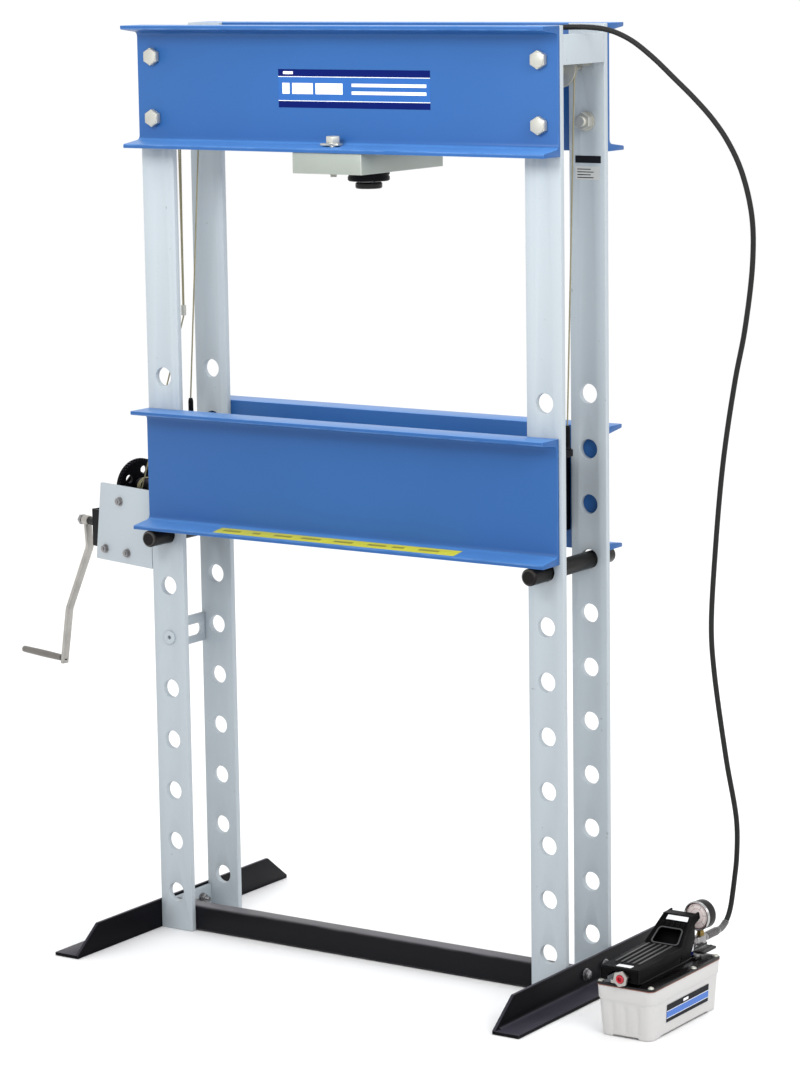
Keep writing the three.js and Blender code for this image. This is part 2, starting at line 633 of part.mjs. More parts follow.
for (const side of sides) {
  const grooves = side.name === 'left' ? [-STRAND_Y, STRAND_Y] : [STRAND_Y];
  const sheave = add(`sheave_${side.name}`, sheaveSolid(grooves), darkSteel);
  sheave.position.set(SHEAVE_X[side.name], 0, SHEAVE_Z);
}

// Points of an arc over the top of a sheave, from one angle to another.
function overSheave(centreX, y, from, to, count) {
  return Array.from({ length: count + 1 }, (_, i) => {
    const angle = from + ((to - from) * i) / count;
    const x = centreX + SHEAVE_PITCH_RADIUS * Math.cos(angle);
    return [x, y, SHEAVE_Z + SHEAVE_PITCH_RADIUS * Math.sin(angle)];
  });
}

function strand(from, to) {
  return tube([from, to], CABLE_RADIUS, 8, 1, true);
}

const CABLE_TOP = SHEAVE_Z - 3 * GAP;
const LEFT_DROP_X = SHEAVE_X.left + SHEAVE_PITCH_RADIUS;
const RIGHT_DROP_X = SHEAVE_X.right + SHEAVE_PITCH_RADIUS;
{
  const leftArc = tube(overSheave(SHEAVE_X.left, -STRAND_Y, 0, Math.PI, 16), CABLE_RADIUS, 8, 16);
  add('cable_over_left', leftArc, wireRope);

  const leftQuarter = overSheave(SHEAVE_X.left, STRAND_Y, Math.PI, Math.PI / 2, 8);
  const rightQuarter = overSheave(SHEAVE_X.right, STRAND_Y, Math.PI / 2, 0, 8);
  const span = strand(
    [SHEAVE_X.left - 0.5, STRAND_Y, SHEAVE_Z + SHEAVE_PITCH_RADIUS],
    [SHEAVE_X.right + 0.5, STRAND_Y, SHEAVE_Z + SHEAVE_PITCH_RADIUS],
  );
  const quarters = [leftQuarter, rightQuarter].map((points) => tube(points, CABLE_RADIUS, 8, 8));
  add('cable_cross_run', union(span, ...quarters), wireRope);

  const leftDrop = strand([LEFT_DROP_X, -STRAND_Y, CABLE_TOP], [-ANCHOR_X, 0, ANCHOR_TOP + 2 * GAP]);
  add('cable_left_drop', leftDrop, wireRope);
  const rightDrop = strand([RIGHT_DROP_X, STRAND_Y, CABLE_TOP], [ANCHOR_X, 0, ANCHOR_TOP + 2 * GAP]);
  add('cable_right_drop', rightDrop, wireRope);

  const pair = [-1, 1].map((sign) => {
    const high = strand([FERRULE_X, sign * STRAND_Y, CABLE_TOP], [FERRULE_X, sign * 1.3, CONVERGE_Z]);
    const low = strand([FERRULE_X, sign * 1.3, CONVERGE_Z + 1], [FERRULE_X, sign * 1.3, FERRULE_Z[1] + GAP]);
    return union(high, low);
  });
  add('cable_tie_pair', union(...pair), wireRope);
  add('cable_ferrule', rod('z', ...FERRULE_Z, [FERRULE_X, 0], 5, 14), darkSteel);

  const drumPoint = new THREE.Vector3(CABLE_LEAVES_X, DRUM_AXIS[0] - CABLE_WRAP_RADIUS, DRUM_AXIS[1]);
  drumPoint.applyAxisAngle(new THREE.Vector3(0, 0, 1), WINCH_TURN).add(WINCH_PLACE);
  const winchStrand = strand([FERRULE_X, 0, FERRULE_Z[0] - 3 * GAP], drumPoint.toArray());
  add('cable_winch_strand', winchStrand, wireRope);
}

// ---------------------------------------------------------------- treadle pump
const PUMP_PLACE = [677, -117, 0];
const RESERVOIR_HEIGHT = 92;
const COVER_TOP = 97;
const INLET = [-2, 111]; // x and z of the air inlet
const PIVOT = [22, 110]; // y and z of the treadle's pivot
const TREADLE_X = [-46, 32];
const OUTLET = [13, 121]; // x and z of the outlet line
const OUTLET_END_Y = 197;
const GAUGE_Y = 129;
const pump = new THREE.Group();
pump.position.set(...PUMP_PLACE);
press.add(pump);

// A rounded block that widens from its foot to its top.
function taperedBlock(bottom, top, radius, from, to) {
  const geometry = new THREE.ExtrudeGeometry(roundedRectangle(...bottom, radius), {
    depth: to - from,
    bevelEnabled: false,
    curveSegments: 6,
  });
  const place = geometry.attributes.position;
  for (let i = 0; i < place.count; i += 1) {
    const share = place.getZ(i) / (to - from);
    place.setX(i, place.getX(i) * (1 + share * (top[0] / bottom[0] - 1)));
    place.setY(i, place.getY(i) * (1 + share * (top[1] / bottom[1] - 1)));
  }
  geometry.translate(0, 0, from);
  return toSolid(geometry);
}

{
  const tank = taperedBlock([51.5, 120], [55.5, 124], 14, 0, 68);
  const lip = taperedBlock([57, 125.5], [58, 126.5], 14, 67, RESERVOIR_HEIGHT);
  add('pump_reservoir', union(tank, lip), ivoryPlastic, pump);
  const cover = prism('z', roundedRectangle(58.5, 127, 12), RESERVOIR_HEIGHT + GAP, COVER_TOP, 6);
  add('pump_cover', cover, blackPaint, pump);
}
{
  const base = box([-34, 26], [-108, 97], [COVER_TOP + GAP, COVER_TOP + 4]);
  const shelf = box([25, 34], [76, 97], [COVER_TOP + GAP, COVER_TOP + 4]);
  const motor = box([-28, 24], [-108, 52], [COVER_TOP + 3, 116]);
  const block = box([-26, 18], [51, 95], [COVER_TOP + 3, 131]);
  const post = rod('z', COVER_TOP + 3, COVER_TOP + 8, [28, 88], 5, 14);
  const pivot = rod('x', -42, 30, PIVOT, 4, 16);
  add('pump_body', union(base, shelf, motor, block, post, pivot), darkSteel, pump);
}
{
  const outer = polygon([
    [-128, 104], [-128, 129], [27, 133], [79, 175], [110, 178], [108, 166], [85, 159], [76, 137],
    [55, 105], [27, 104],
  ]);
  const inner = polygon([[-124, 100], [-124, 125], [29, 129], [79, 169], [83, 182], [112, 182], [112, 100]]);
  const shell = prism('x', outer, ...TREADLE_X);
  const hollow = prism('x', inner, TREADLE_X[0] + 4, TREADLE_X[1] - 4);
  const window = box([-30, 18], [29, 56], [118, 166]);
  const bore = rod('x', -50, 40, PIVOT, 4.4, 16);
  const arch = polygon([[-34, 100], [-34, 112], [-20, 122.5], [8, 122.5], [15, 114], [15, 100]]);
  const inlet = prism('y', arch, -130, -122);
  const middle = (TREADLE_X[0] + TREADLE_X[1]) / 2;
  // The heel narrows towards its top.
  const treadle = cut(shell, hollow, window, bore, inlet).warp((vertex) => {
    const rise = Math.max(0, vertex[2] - 135) / 40;
    vertex[0] = middle + (vertex[0] - middle) * (1 - 0.26 * Math.min(rise, 1));
  });
  add('pump_treadle', treadle, blackPlastic, pump);
}
{
  const neck = rod('y', -131, -108 - GAP, INLET, 6.5, 14);
  const hex = rod('y', -137, -130.5, INLET, 15, 6);
  const plug = rod('y', -139, -136, INLET, 8.5, 14);
  add('air_inlet', union(neck, hex, plug), zinc, pump);
}
{
  const outlet = rod('y', 95 + GAP, OUTLET_END_Y, OUTLET, 6.5, 16);
  const nut = rod('y', 95 + GAP, 108, OUTLET, 9.4, 6);
  const tee = box([OUTLET[0] - 8.5, OUTLET[0] + 8.5], [107, 139], [OUTLET[1] - 8.5, OUTLET[1] + 8.5]);
  const collar = rod('y', 150, OUTLET_END_Y - 6, OUTLET, 8, 16);
  const stem = rod('z', OUTLET[1], 138.6, [OUTLET[0], GAUGE_Y], 5.5, 14);
  add('hydraulic_outlet', union(outlet, nut, tee, collar, stem), brass, pump);
}

const GAUGE_CENTRE = [OUTLET[0], GAUGE_Y, 166];
const GAUGE_RADIUS = 27;
const GAUGE_TURN = THREE.MathUtils.degToRad(-7);
const gauge = new THREE.Group();
gauge.position.set(...GAUGE_CENTRE);
gauge.rotation.z = GAUGE_TURN;
pump.add(gauge);
{
  // Face towards -y, with a shallow recess for the dial.
  const profile = [
    [0, -11], [GAUGE_RADIUS - 2.5, -11], [GAUGE_RADIUS - 2.5, -14], [GAUGE_RADIUS, -14],
    [GAUGE_RADIUS, 12], [GAUGE_RADIUS - 3, 14], [0, 14],
  ];
  add('gauge_case', toSolid(turned(profile, 32)), dialWhite, gauge);
  const hub = rod('y', -12.6, -11 - GAP, [0, 0], 2.6, 12);
  const pointer = box([-0.8, 0.8], [-12.4, -11.6], [-6, 20]);
  const needle = add('gauge_needle', union(hub, pointer), darkSteel, gauge);
  needle.rotation.y = THREE.MathUtils.degToRad(-135);
}
// Rests on the post of the pump body and is pushed down at its far end.
{
  const pad = prism('z', roundedRectangle(11, 25, 4), COVER_TOP + 9, COVER_TOP + 13);
  const rib = box([-3, 3], [-24, 24], [COVER_TOP + 12, COVER_TOP + 14]);
  const lever = add('release_lever', union(pad, rib), blackPaint, pump);
  lever.position.set(31, 113, 0);
}

// ---------------------------------------------------------------- hose and its upper fitting
const HOSE_RADIUS = 4.75;
const HOSE_START_X = 92;
{
  const swivel = rod('x', PORT_FACE_X + GAP, 66, [0, PORT_Z], 12, 6);
  const body = rod('x', 65, HOSE_START_X, [0, PORT_Z], 8, 16);
  add('cylinder_fitting', union(swivel, body), zinc);

  const route = [
    [HOSE_START_X + GAP, 0, PORT_Z], [96, 0, PORT_Z], [140, -4, 1666], [205, -18, 1690],
    [290, -26, 1726], [380, -18, 1748], [434, -10, 1754], [507, 1, 1750], [553, 4, 1733],
    [595, 7, 1704], [640, 10, 1665], [681, 13, 1628], [714, 15, 1594], [741, 18, 1557],
    [765, 23, 1506], [782, 29, 1430], [781, 35, 1351], [761, 44, 1228], [739, 50, 1138],
    [710, 60, 991], [688, 71, 826], [675, 80, 679], [677, 86, 604], [696, 98, 437],
    [713, 106, 323], [708, 116, 252], [701, 121.5, 212], [695.6, 123.8, 180], [692.4, 123.1, 157.2],
    [690.9, 117.9, 142], [690.2, 107.4, 129.9], [690, 91.7, 122.2], [690, 81.2, OUTLET[1]],
    [690, PUMP_PLACE[1] + OUTLET_END_Y + GAP, OUTLET[1]],
  ];
  add('hose', tube(route, HOSE_RADIUS, 8, 84), hoseRubber);
}

export default press;
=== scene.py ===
"""The looks of a floor-standing hydraulic press: frame, bolster, winch, treadle pump and hose."""
import math

import bpy
from mathutils import Matrix, Vector, geometry


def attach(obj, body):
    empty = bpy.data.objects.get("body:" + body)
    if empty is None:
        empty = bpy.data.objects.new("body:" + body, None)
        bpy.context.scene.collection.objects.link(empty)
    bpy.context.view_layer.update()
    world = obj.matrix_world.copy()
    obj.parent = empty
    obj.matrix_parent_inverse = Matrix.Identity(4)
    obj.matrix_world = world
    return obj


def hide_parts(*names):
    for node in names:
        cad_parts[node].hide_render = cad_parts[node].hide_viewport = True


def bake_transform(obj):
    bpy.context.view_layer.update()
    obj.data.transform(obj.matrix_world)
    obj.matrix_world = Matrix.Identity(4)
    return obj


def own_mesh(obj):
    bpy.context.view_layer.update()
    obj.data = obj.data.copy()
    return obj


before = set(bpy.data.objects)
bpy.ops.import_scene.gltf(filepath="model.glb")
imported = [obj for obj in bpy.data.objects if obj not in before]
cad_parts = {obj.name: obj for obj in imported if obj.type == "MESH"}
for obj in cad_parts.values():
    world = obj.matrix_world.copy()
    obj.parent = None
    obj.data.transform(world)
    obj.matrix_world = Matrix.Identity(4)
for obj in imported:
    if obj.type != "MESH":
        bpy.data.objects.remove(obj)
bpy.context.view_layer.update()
MM = 0.001
SIDES = {"left": -1, "right": 1}
FACES = {"front": -1, "rear": 1}


# ------------------------------------------------------------------ camera, light and floor
def make_camera():
    azimuth, down, roll = math.radians(-33.656), math.radians(9.696), math.radians(-0.836)
    ahead = Vector((
        math.sin(azimuth) * math.cos(down),
        math.cos(azimuth) * math.cos(down),
        -math.sin(down),
    ))
    right = Vector((math.cos(azimuth), -math.sin(azimuth), 0))
    up = right.cross(ahead)
    turned_right = right * math.cos(roll) + up * math.sin(roll)
    turned_up = up * math.cos(roll) - right * math.sin(roll)
    data = bpy.data.cameras.new("camera")
    data.lens = 117.8
    data.sensor_width = 36
    camera = bpy.data.objects.new("camera", data)
    place = Matrix((turned_right, turned_up, -ahead)).transposed().to_4x4()
    place.translation = Vector((3.6810, -5.4422, 1.9170))
    camera.matrix_world = place
    bpy.context.collection.objects.link(camera)
    bpy.context.scene.camera = camera


def area_light(name, place, aim, size, power, spread=180):
    data = bpy.data.lights.new(name, "AREA")
    data.size = size
    data.energy = power
    data.spread = math.radians(spread)
    light = bpy.data.objects.new(name, data)
    light.location = place
    light.visible_camera = False
    light.rotation_mode = "QUATERNION"
    light.rotation_quaternion = (Vector(aim) - Vector(place)).to_track_quat("-Z", "Y")
    bpy.context.collection.objects.link(light)


def make_studio():
    world = bpy.data.worlds.new("studio")
    world.use_nodes = True
    background = world.node_tree.nodes["Background"]
    background.inputs["Color"].default_value = (1, 1, 1, 1)
    background.inputs["Strength"].default_value = 1.03
    scene = bpy.context.scene
    scene.world = world
    scene.view_settings.view_transform = "Standard"
    scene.view_settings.look = "None"
    area_light("key", (5.5, -2.6, 4.2), (0, 0, 0.9), 3.0, 130)
    area_light("top", (0.5, 1.0, 5.5), (0, 0, 0.5), 4.0, 60)
    area_light("high_front", (0.3, -2.8, 2.9), (0, 0, 1.95), 1.2, 8, spread=55)
    mesh = bpy.data.meshes.new("floor")
    half = 30
    corners = [(-half, -half, 0), (half, -half, 0), (half, half, 0), (-half, half, 0)]
    mesh.from_pydata([Vector(c) - Vector((0, 0, 0.0006)) for c in corners], [], [(0, 1, 2, 3)])
    mesh.materials.append(finish("floor_paint", (0.98, 0.98, 0.98), rough=(0.6, 0.7), vary=0.01, grain=3, bump=0))
    floor = bpy.data.objects.new("floor", mesh)
    bpy.context.collection.objects.link(floor)


# ------------------------------------------------------------------ materials
def linear(red, green, blue):
    """Display colour, 0 to 255, to the linear colour a shader takes."""
    def one(value):
        value /= 255
        return value / 12.92 if value <= 0.04045 else ((value + 0.055) / 1.055) ** 2.4
    return one(red), one(green), one(blue)


def scaled(colour, share):
    return tuple(min(1, c * share) for c in colour)


def finish(name, colour, rough, metal=0.0, vary=0.06, blotch=5.0, grain=700.0, bump=0.15, depth=0.00012,
           stretch=(1, 1, 1), wear=None, wear_share=0.5, specks=None, top=None, specular=0.5):
    """A surface of one colour as it is really seen: clouded by slow and fine noise, with an uneven gloss,
    a fine relief, scuffed bevels (vertex attribute edge), a few specks and, given top, a painted sheen of light on
    its upward faces."""
    material = bpy.data.materials.new(name)
    material.use_nodes = True
    nodes, links = material.node_tree.nodes, material.node_tree.links
    shader = nodes["Principled BSDF"]
    shader.inputs["Metallic"].default_value = metal
    shader.inputs["Specular IOR Level"].default_value = specular

    where = nodes.new("ShaderNodeTexCoord").outputs["Object"]

    def cloud(scale, detail, stretched=False):
        texture = nodes.new("ShaderNodeTexNoise")
        texture.inputs["Scale"].default_value = scale
        texture.inputs["Detail"].default_value = detail
        if stretched:
            mapping = nodes.new("ShaderNodeMapping")
            mapping.inputs["Scale"].default_value = stretch
            links.new(where, mapping.inputs["Vector"])
            links.new(mapping.outputs["Vector"], texture.inputs["Vector"])
        else:
            links.new(where, texture.inputs["Vector"])
        return texture.outputs["Fac"]

    def fitted(value, low, high, from_low=0.3, from_high=0.7):
        node = nodes.new("ShaderNodeMapRange")
        node.inputs["From Min"].default_value = from_low
        node.inputs["From Max"].default_value = from_high
        node.inputs["To Min"].default_value = low
        node.inputs["To Max"].default_value = high
        links.new(value, node.inputs["Value"])
        return node.outputs["Result"]

    def combined(operation, a, b):
        node = nodes.new("ShaderNodeMath")
        node.operation = operation
        for socket, value in zip(node.inputs, (a, b)):
            if isinstance(value, float):
                socket.default_value = value
            else:
                links.new(value, socket)
        return node.outputs["Value"]

    def blended(share, a, b):
        node = nodes.new("ShaderNodeMix")
        node.data_type = "RGBA"
        links.new(share, node.inputs["Factor"])
        for key, value in (("A", a), ("B", b)):
            socket = [s for s in node.inputs if s.name == key and s.type == "RGBA"][0]
            if isinstance(value, tuple):
                socket.default_value = (*value, 1)
            else:
                links.new(value, socket)
        return [s for s in node.outputs if s.type == "RGBA"][0]

    slow, fine = cloud(blotch, 4), cloud(grain, 2, True)
    share = combined("ADD", combined("MULTIPLY", slow, 0.65), combined("MULTIPLY", fine, 0.35))
    tint = blended(fitted(share, 0, 1), scaled(colour, 1 - vary), scaled(colour, 1 + vary))
    if specks:
        spots = fitted(cloud(specks[0], 3), 0.0, 1.0, specks[1], specks[1] + 0.03)
        tint = blended(combined("MULTIPLY", spots, 0.6), tint, specks[2])
    if wear:
        attribute = nodes.new("ShaderNodeAttribute")
        attribute.attribute_name = "edge"
        rubbed = fitted(cloud(24, 8), 0.0, wear_share, 0.3, 0.75)
        tint = blended(combined("MULTIPLY", attribute.outputs["Fac"], rubbed), tint, wear)
    # Painted top light: faces turned upwards are blended towards the top colour, a painted sheen standing in for
    # light falling from above.
    if top:
        split = nodes.new("ShaderNodeSeparateXYZ")
        links.new(nodes.new("ShaderNodeNewGeometry").outputs["Normal"], split.inputs["Vector"])
        painted_top_sheen = combined("MULTIPLY", fitted(split.outputs["Z"], 0.0, 1.0, 0.5, 0.95), fitted(slow, 0.65, 1.0))
        tint = blended(painted_top_sheen, tint, top)
    links.new(tint, shader.inputs["Base Color"])
    links.new(fitted(share, *rough), shader.inputs["Roughness"])
    if bump:
        relief = nodes.new("ShaderNodeBump")
        relief.inputs["Strength"].default_value = bump
        relief.inputs["Distance"].default_value = depth
        links.new(fine, relief.inputs["Height"])
        links.new(relief.outputs["Normal"], shader.inputs["Normal"])
    return material


# name, display colour, roughness, variation, size of blotches and of grain, relief, and what else finish takes
MATERIALS = {
    "grey": ("grey_enamel", (172, 181, 187), (0.38, 0.5), 0.035, 3, 420, 0.1,
             dict(specular=0.35, wear=(0.62, 0.63, 0.64), specks=(90, 0.74, linear(120, 120, 118)))),
    # The top colours of blue, black and beam are painted sheen: upward faces made lighter as if lit from above.
    "blue": ("blue_enamel", (42, 90, 150), (0.3, 0.42), 0.05, 4, 500, 0.12,
             dict(wear=linear(110, 150, 205), top=linear(84, 138, 204), specular=0.25)),
    "black": ("black_enamel", (11, 11, 15), (0.3, 0.45), 0.12, 6, 450, 0.16,
              dict(wear=linear(90, 88, 90), wear_share=0.4, top=linear(62, 60, 70), specular=0.07)),
    # beam is the black enamel again with a lighter top colour: a stronger painted sheen on the cross beam's top.
    "beam": ("black_enamel_painted_top_sheen", (20, 20, 24), (0.3, 0.45), 0.12, 6, 450, 0.16,
             dict(wear=linear(90, 88, 90), wear_share=0.4, top=linear(108, 106, 110), specular=0.1)),
    "pin": ("oiled_steel", (20, 18, 17), (0.25, 0.4), 0.2, 30, 300, 0.2,
            dict(specular=0.14, stretch=(1, 0.1, 1), wear=linear(120, 118, 115))),
    "plate": ("machined_plate", (150, 157, 150), (0.35, 0.5), 0.06, 14, 900, 0.2,
              dict(metal=0.25, stretch=(0.08, 1, 1), wear=linear(215, 215, 210))),
    "zinc": ("zinc_plating", (188, 188, 180), (0.3, 0.45), 0.1, 40, 700, 0.2,
             dict(metal=0.55, wear=linear(225, 222, 212))),
    "crank": ("plated_crank", (170, 167, 162), (0.25, 0.5), 0.24, 25, 500, 0.22,
              dict(metal=0.8, stretch=(1, 1, 0.12), wear=linear(205, 203, 198))),
    "dark": ("blackened_steel", (34, 33, 33), (0.35, 0.5), 0.2, 30, 600, 0.2,
             dict(metal=0.3, specular=0.25, wear=linear(130, 128, 124))),
    "chrome": ("ground_chrome", (176, 176, 176), (0.08, 0.18), 0.04, 20, 800, 0.05,
               dict(metal=1.0, stretch=(1, 1, 0.1))),
    "rope": ("wire_rope", (146, 140, 112), (0.35, 0.5), 0.2, 60, 1200, 0.3, dict(metal=0.5)),
    "tank": ("tank_plastic", (195, 194, 193), (0.42, 0.55), 0.03, 10, 900, 0.12, dict(specular=0.3)),
    "treadle": ("treadle_plastic", (8, 8, 9), (0.35, 0.5), 0.15, 20, 1100, 0.45,
                dict(specular=0.04, depth=0.0002, wear=linear(70, 69, 70))),
    "cover": ("cover_enamel", (14, 12, 13), (0.18, 0.3), 0.15, 15, 700, 0.2,
              dict(wear=linear(80, 78, 78), specular=0.22)),
    "gasket": ("red_gasket", (128, 78, 62), (0.6, 0.8), 0.15, 60, 900, 0.3, {}),
    "cast": ("cast_aluminium", (168, 168, 168), (0.4, 0.6), 0.12, 40, 600, 0.4,
             dict(metal=0.7, depth=0.0003, wear=linear(190, 190, 190))),
    "steel": ("pipe_steel", (142, 140, 141), (0.22, 0.36), 0.14, 40, 600, 0.25,
              dict(metal=0.9, wear=linear(200, 200, 196))),
    "brass": ("brass_fitting", (140, 118, 66), (0.25, 0.4), 0.14, 50, 800, 0.2,
              dict(metal=0.9, wear=linear(210, 192, 140))),
    "hose": ("hose_cover", (28, 29, 28), (0.45, 0.6), 0.18, 20, 900, 0.5, dict(specular=0.2, depth=0.0003)),
    "red": ("red_plug", (186, 22, 44), (0.35, 0.5), 0.1, 60, 900, 0.1, {}),
    "dial": ("dial_face", (242, 231, 228), (0.4, 0.5), 0.03, 60, 900, 0.02, {}),
    "ink": ("black_ink", (20, 22, 28), (0.4, 0.5), 0.1, 80, 900, 0.02, dict(specular=0.08)),
    "white": ("white_print", (236, 238, 240), (0.4, 0.5), 0.02, 30, 900, 0.02, {}),
    "tag": ("tag_foil", (190, 192, 190), (0.3, 0.45), 0.05, 40, 900, 0.05, dict(metal=0.3)),
    "navy": ("navy_print", (12, 26, 92), (0.3, 0.4), 0.06, 20, 900, 0.02, dict(specular=0.03)),
    "sky": ("blue_print", (60, 108, 188), (0.3, 0.4), 0.05, 20, 900, 0.02, dict(specular=0.25)),
    "panel": ("label_blue", (40, 94, 164), (0.3, 0.4), 0.05, 20, 900, 0.02, dict(specular=0.25)),
    "yellow": ("yellow_strip", (220, 214, 52), (0.4, 0.55), 0.08, 25, 900, 0.1, {}),
    # The lighter rib material is painted highlight: the treadle's black plastic with light on the rib tops and the
    # window rim painted in.
    "rib_highlight": ("treadle_rib_highlight", (62, 62, 63), (0.3, 0.45), 0.2, 30, 900, 0.3, dict(specular=0.4)),
    "mark": ("strip_print", (158, 148, 40), (0.4, 0.55), 0.1, 30, 900, 0.05, {}),
    "grip": ("grip_sleeve", (118, 114, 110), (0.35, 0.5), 0.15, 40, 600, 0.25,
             dict(metal=0.7, stretch=(0.1, 1, 1))),
}


def make_materials():
    made = {}
    for key, (name, colour, rough, vary, blotch, grain, bump, more) in MATERIALS.items():
        made[key] = finish(name, linear(*colour), rough, vary=vary, blotch=blotch, grain=grain, bump=bump, **more)
    return made


# ------------------------------------------------------------------ shapes, in millimetres
class Shape:
    """Vertices, faces and a wear value for each vertex."""

    def __init__(self, vertices=(), faces=(), edge=None):
        self.vertices = [Vector(v) for v in vertices]
        self.faces = [tuple(f) for f in faces]
        self.edge = list(edge) if edge is not None else [0.0] * len(self.vertices)
        self.slots = [0] * len(self.faces)

    def add(self, other, slot=0):
        base = len(self.vertices)
        self.vertices += other.vertices
        self.edge += other.edge
        self.faces += [tuple(i + base for i in f) for f in other.faces]
        self.slots += [slot + s for s in other.slots]
        return self

    def moved(self, matrix):
        self.vertices = [matrix @ v for v in self.vertices]
        if matrix.determinant() < 0:
            self.faces = [f[::-1] for f in self.faces]
        return self

    def at(self, x=0, y=0, z=0):
        return self.moved(Matrix.Translation((x, y, z)))

    def warped(self, change):
        self.vertices = [Vector(change(v)) for v in self.vertices]
        return self


def band(low, high, count):
    """The faces between two rings of points that start at low and at high."""
    return [(low + i, low + (i + 1) % count, high + (i + 1) % count, high + i) for i in range(count)]


def skinned(vertices, count):
    """A solid from rings of count points, with flat ends."""
    last = len(vertices) - count
    faces = [face for low in range(0, last, count) for face in band(low, low + count, count)]
    return Shape(vertices, [*faces, tuple(range(count))[::-1], tuple(range(last, last + count))])


def circle(x, y, radius, count=48):
    return [(x + radius * math.cos(2 * math.pi * i / count), y + radius * math.sin(2 * math.pi * i / count))
            for i in range(count)]


def rectangle(x0, x1, y0, y1):
    return [(x0, y0), (x1, y0), (x1, y1), (x0, y1)]


def filleted(points, radius, steps=4):
    """A closed outline with its corners rounded; radius is one number or one for each corner."""
    radii = radius if isinstance(radius, (list, tuple)) else [radius] * len(points)
    made = []
    for i, r in enumerate(radii):
        here = Vector(points[i]).to_2d()
        before = (Vector(points[i - 1]).to_2d() - here).normalized()
        after = (Vector(points[(i + 1) % len(points)]).to_2d() - here).normalized()
        cosine = max(-1, min(1, before.dot(after)))
        if r <= 0 or cosine < -0.999:
            made.append(tuple(here))
            continue
        half = math.acos(cosine) / 2
        reach = r / math.tan(half)
        centre = here + (before + after).normalized() * (r / math.sin(half))
        start, end = here + before * reach - centre, here + after * reach - centre
        sweep = start.angle_signed(end)
        for k in range(steps + 1):
            angle = -sweep * k / steps
            turned = Vector((start.x * math.cos(angle) - start.y * math.sin(angle),
                             start.x * math.sin(angle) + start.y * math.cos(angle)))
            made.append(tuple(centre + turned))
    return made


def area_of(loop):
    return sum(a[0] * b[1] - b[0] * a[1] for a, b in zip(loop, loop[1:] + loop[:1])) / 2


def inset(loop, amount):
    """The outline moved to its left by amount, with mitred corners."""
    made = []
    for i, here in enumerate(loop):
        before, after = Vector(loop[i - 1]), Vector(loop[(i + 1) % len(loop)])
        here = Vector(here)
        a, b = (here - before).normalized(), (after - here).normalized()
        na, nb = Vector((-a.y, a.x)), Vector((-b.y, b.x))
        made.append(tuple(here + (na + nb) * (amount / max(0.3, 1 + na.dot(nb)))))
    return made


def turning(loop, i):
    """How far an outline turns at one of its points, in degrees."""
    here = Vector(loop[i])
    before, after = here - Vector(loop[i - 1]), Vector(loop[(i + 1) % len(loop)]) - here
    return abs(math.degrees(before.angle_signed(after, 0)))


def plate(outer, depth, holes=(), bevel=0.7, steps=2):
    """An outline with holes, drawn in x and y and extruded from z = 0 to depth, with rounded edges."""
    loops = [outer if area_of(outer) > 0 else outer[::-1]]
    loops += [h if area_of(h) < 0 else h[::-1] for h in holes]
    bevel = min(bevel, depth / 2.01)
    levels = []
    for k in range(steps + 1):
        angle = math.pi / 2 * k / steps
        levels.append((bevel * (1 - math.sin(angle)), bevel * (1 - math.cos(angle))))
    levels += [(move, depth - rise) for move, rise in reversed(levels)]
    shape = Shape()
    rings = []
    for loop in loops:
        ring = []
        corners = [18 < turning(loop, i) < 60 for i in range(len(loop))]
        for number, (move, height) in enumerate(levels):
            ring.append(len(shape.vertices))
            on_bevel = 0 < number < steps or 0 < len(levels) - 1 - number < steps
            on_side = steps <= number <= len(levels) - 1 - steps
            for (x, y), corner in zip(inset(loop, move) if move > 1e-6 else loop, corners):
                shape.vertices.append(Vector((x, y, height)))
                shape.edge.append(1.0 if on_bevel or (on_side and corner) else 0.0)
        count = len(loop)
        for low, high in zip(ring, ring[1:]):
            shape.faces += band(low, high, count)
        rings.append((ring[0], ring[-1], count))
    for which, flip in ((0, True), (1, False)):
        lines = [[shape.vertices[r[which] + i] for i in range(r[2])] for r in rings]
        ids = [r[which] + i for r in rings for i in range(r[2])]
        for triangle in geometry.tessellate_polygon(lines):
            a, b, c = (shape.vertices[ids[t]] for t in triangle)
            upward = (b - a).cross(c - a).z > 0
            corners = [ids[t] for t in triangle]
            shape.faces.append(tuple(corners if upward != flip else corners[::-1]))
    shape.slots = [0] * len(shape.faces)
    return shape


def facing(axis, origin=(0, 0, 0)):
    """Where a plate goes: along x it is drawn in (y, z), along y in (x, z) going towards +y, along z in (x, y)."""
    columns = {"x": ((0, 1, 0), (0, 0, 1), (1, 0, 0)),
               "y": ((1, 0, 0), (0, 0, 1), (0, 1, 0)),
               "z": ((1, 0, 0), (0, 1, 0), (0, 0, 1))}[axis]
    matrix = Matrix([Vector(c) for c in columns]).transposed().to_4x4()
    matrix.translation = Vector(origin)
    return matrix


def slab(axis, outer, low, high, holes=(), bevel=0.7, steps=2):
    start = [0, 0, 0]
    start["xyz".index(axis)] = low
    return plate(outer, high - low, holes, bevel, steps).moved(facing(axis, start))


def patch(axis, area, low, high):
    """A printed area with square edges."""
    return slab(axis, rectangle(*area), low, high, bevel=0)


def block(x, y, z, bevel=0.7, corner=None):
    outline = filleted(rectangle(*x, *y), bevel if corner is None else corner, 3)
    return slab("z", outline, z[0], z[1], bevel=bevel)


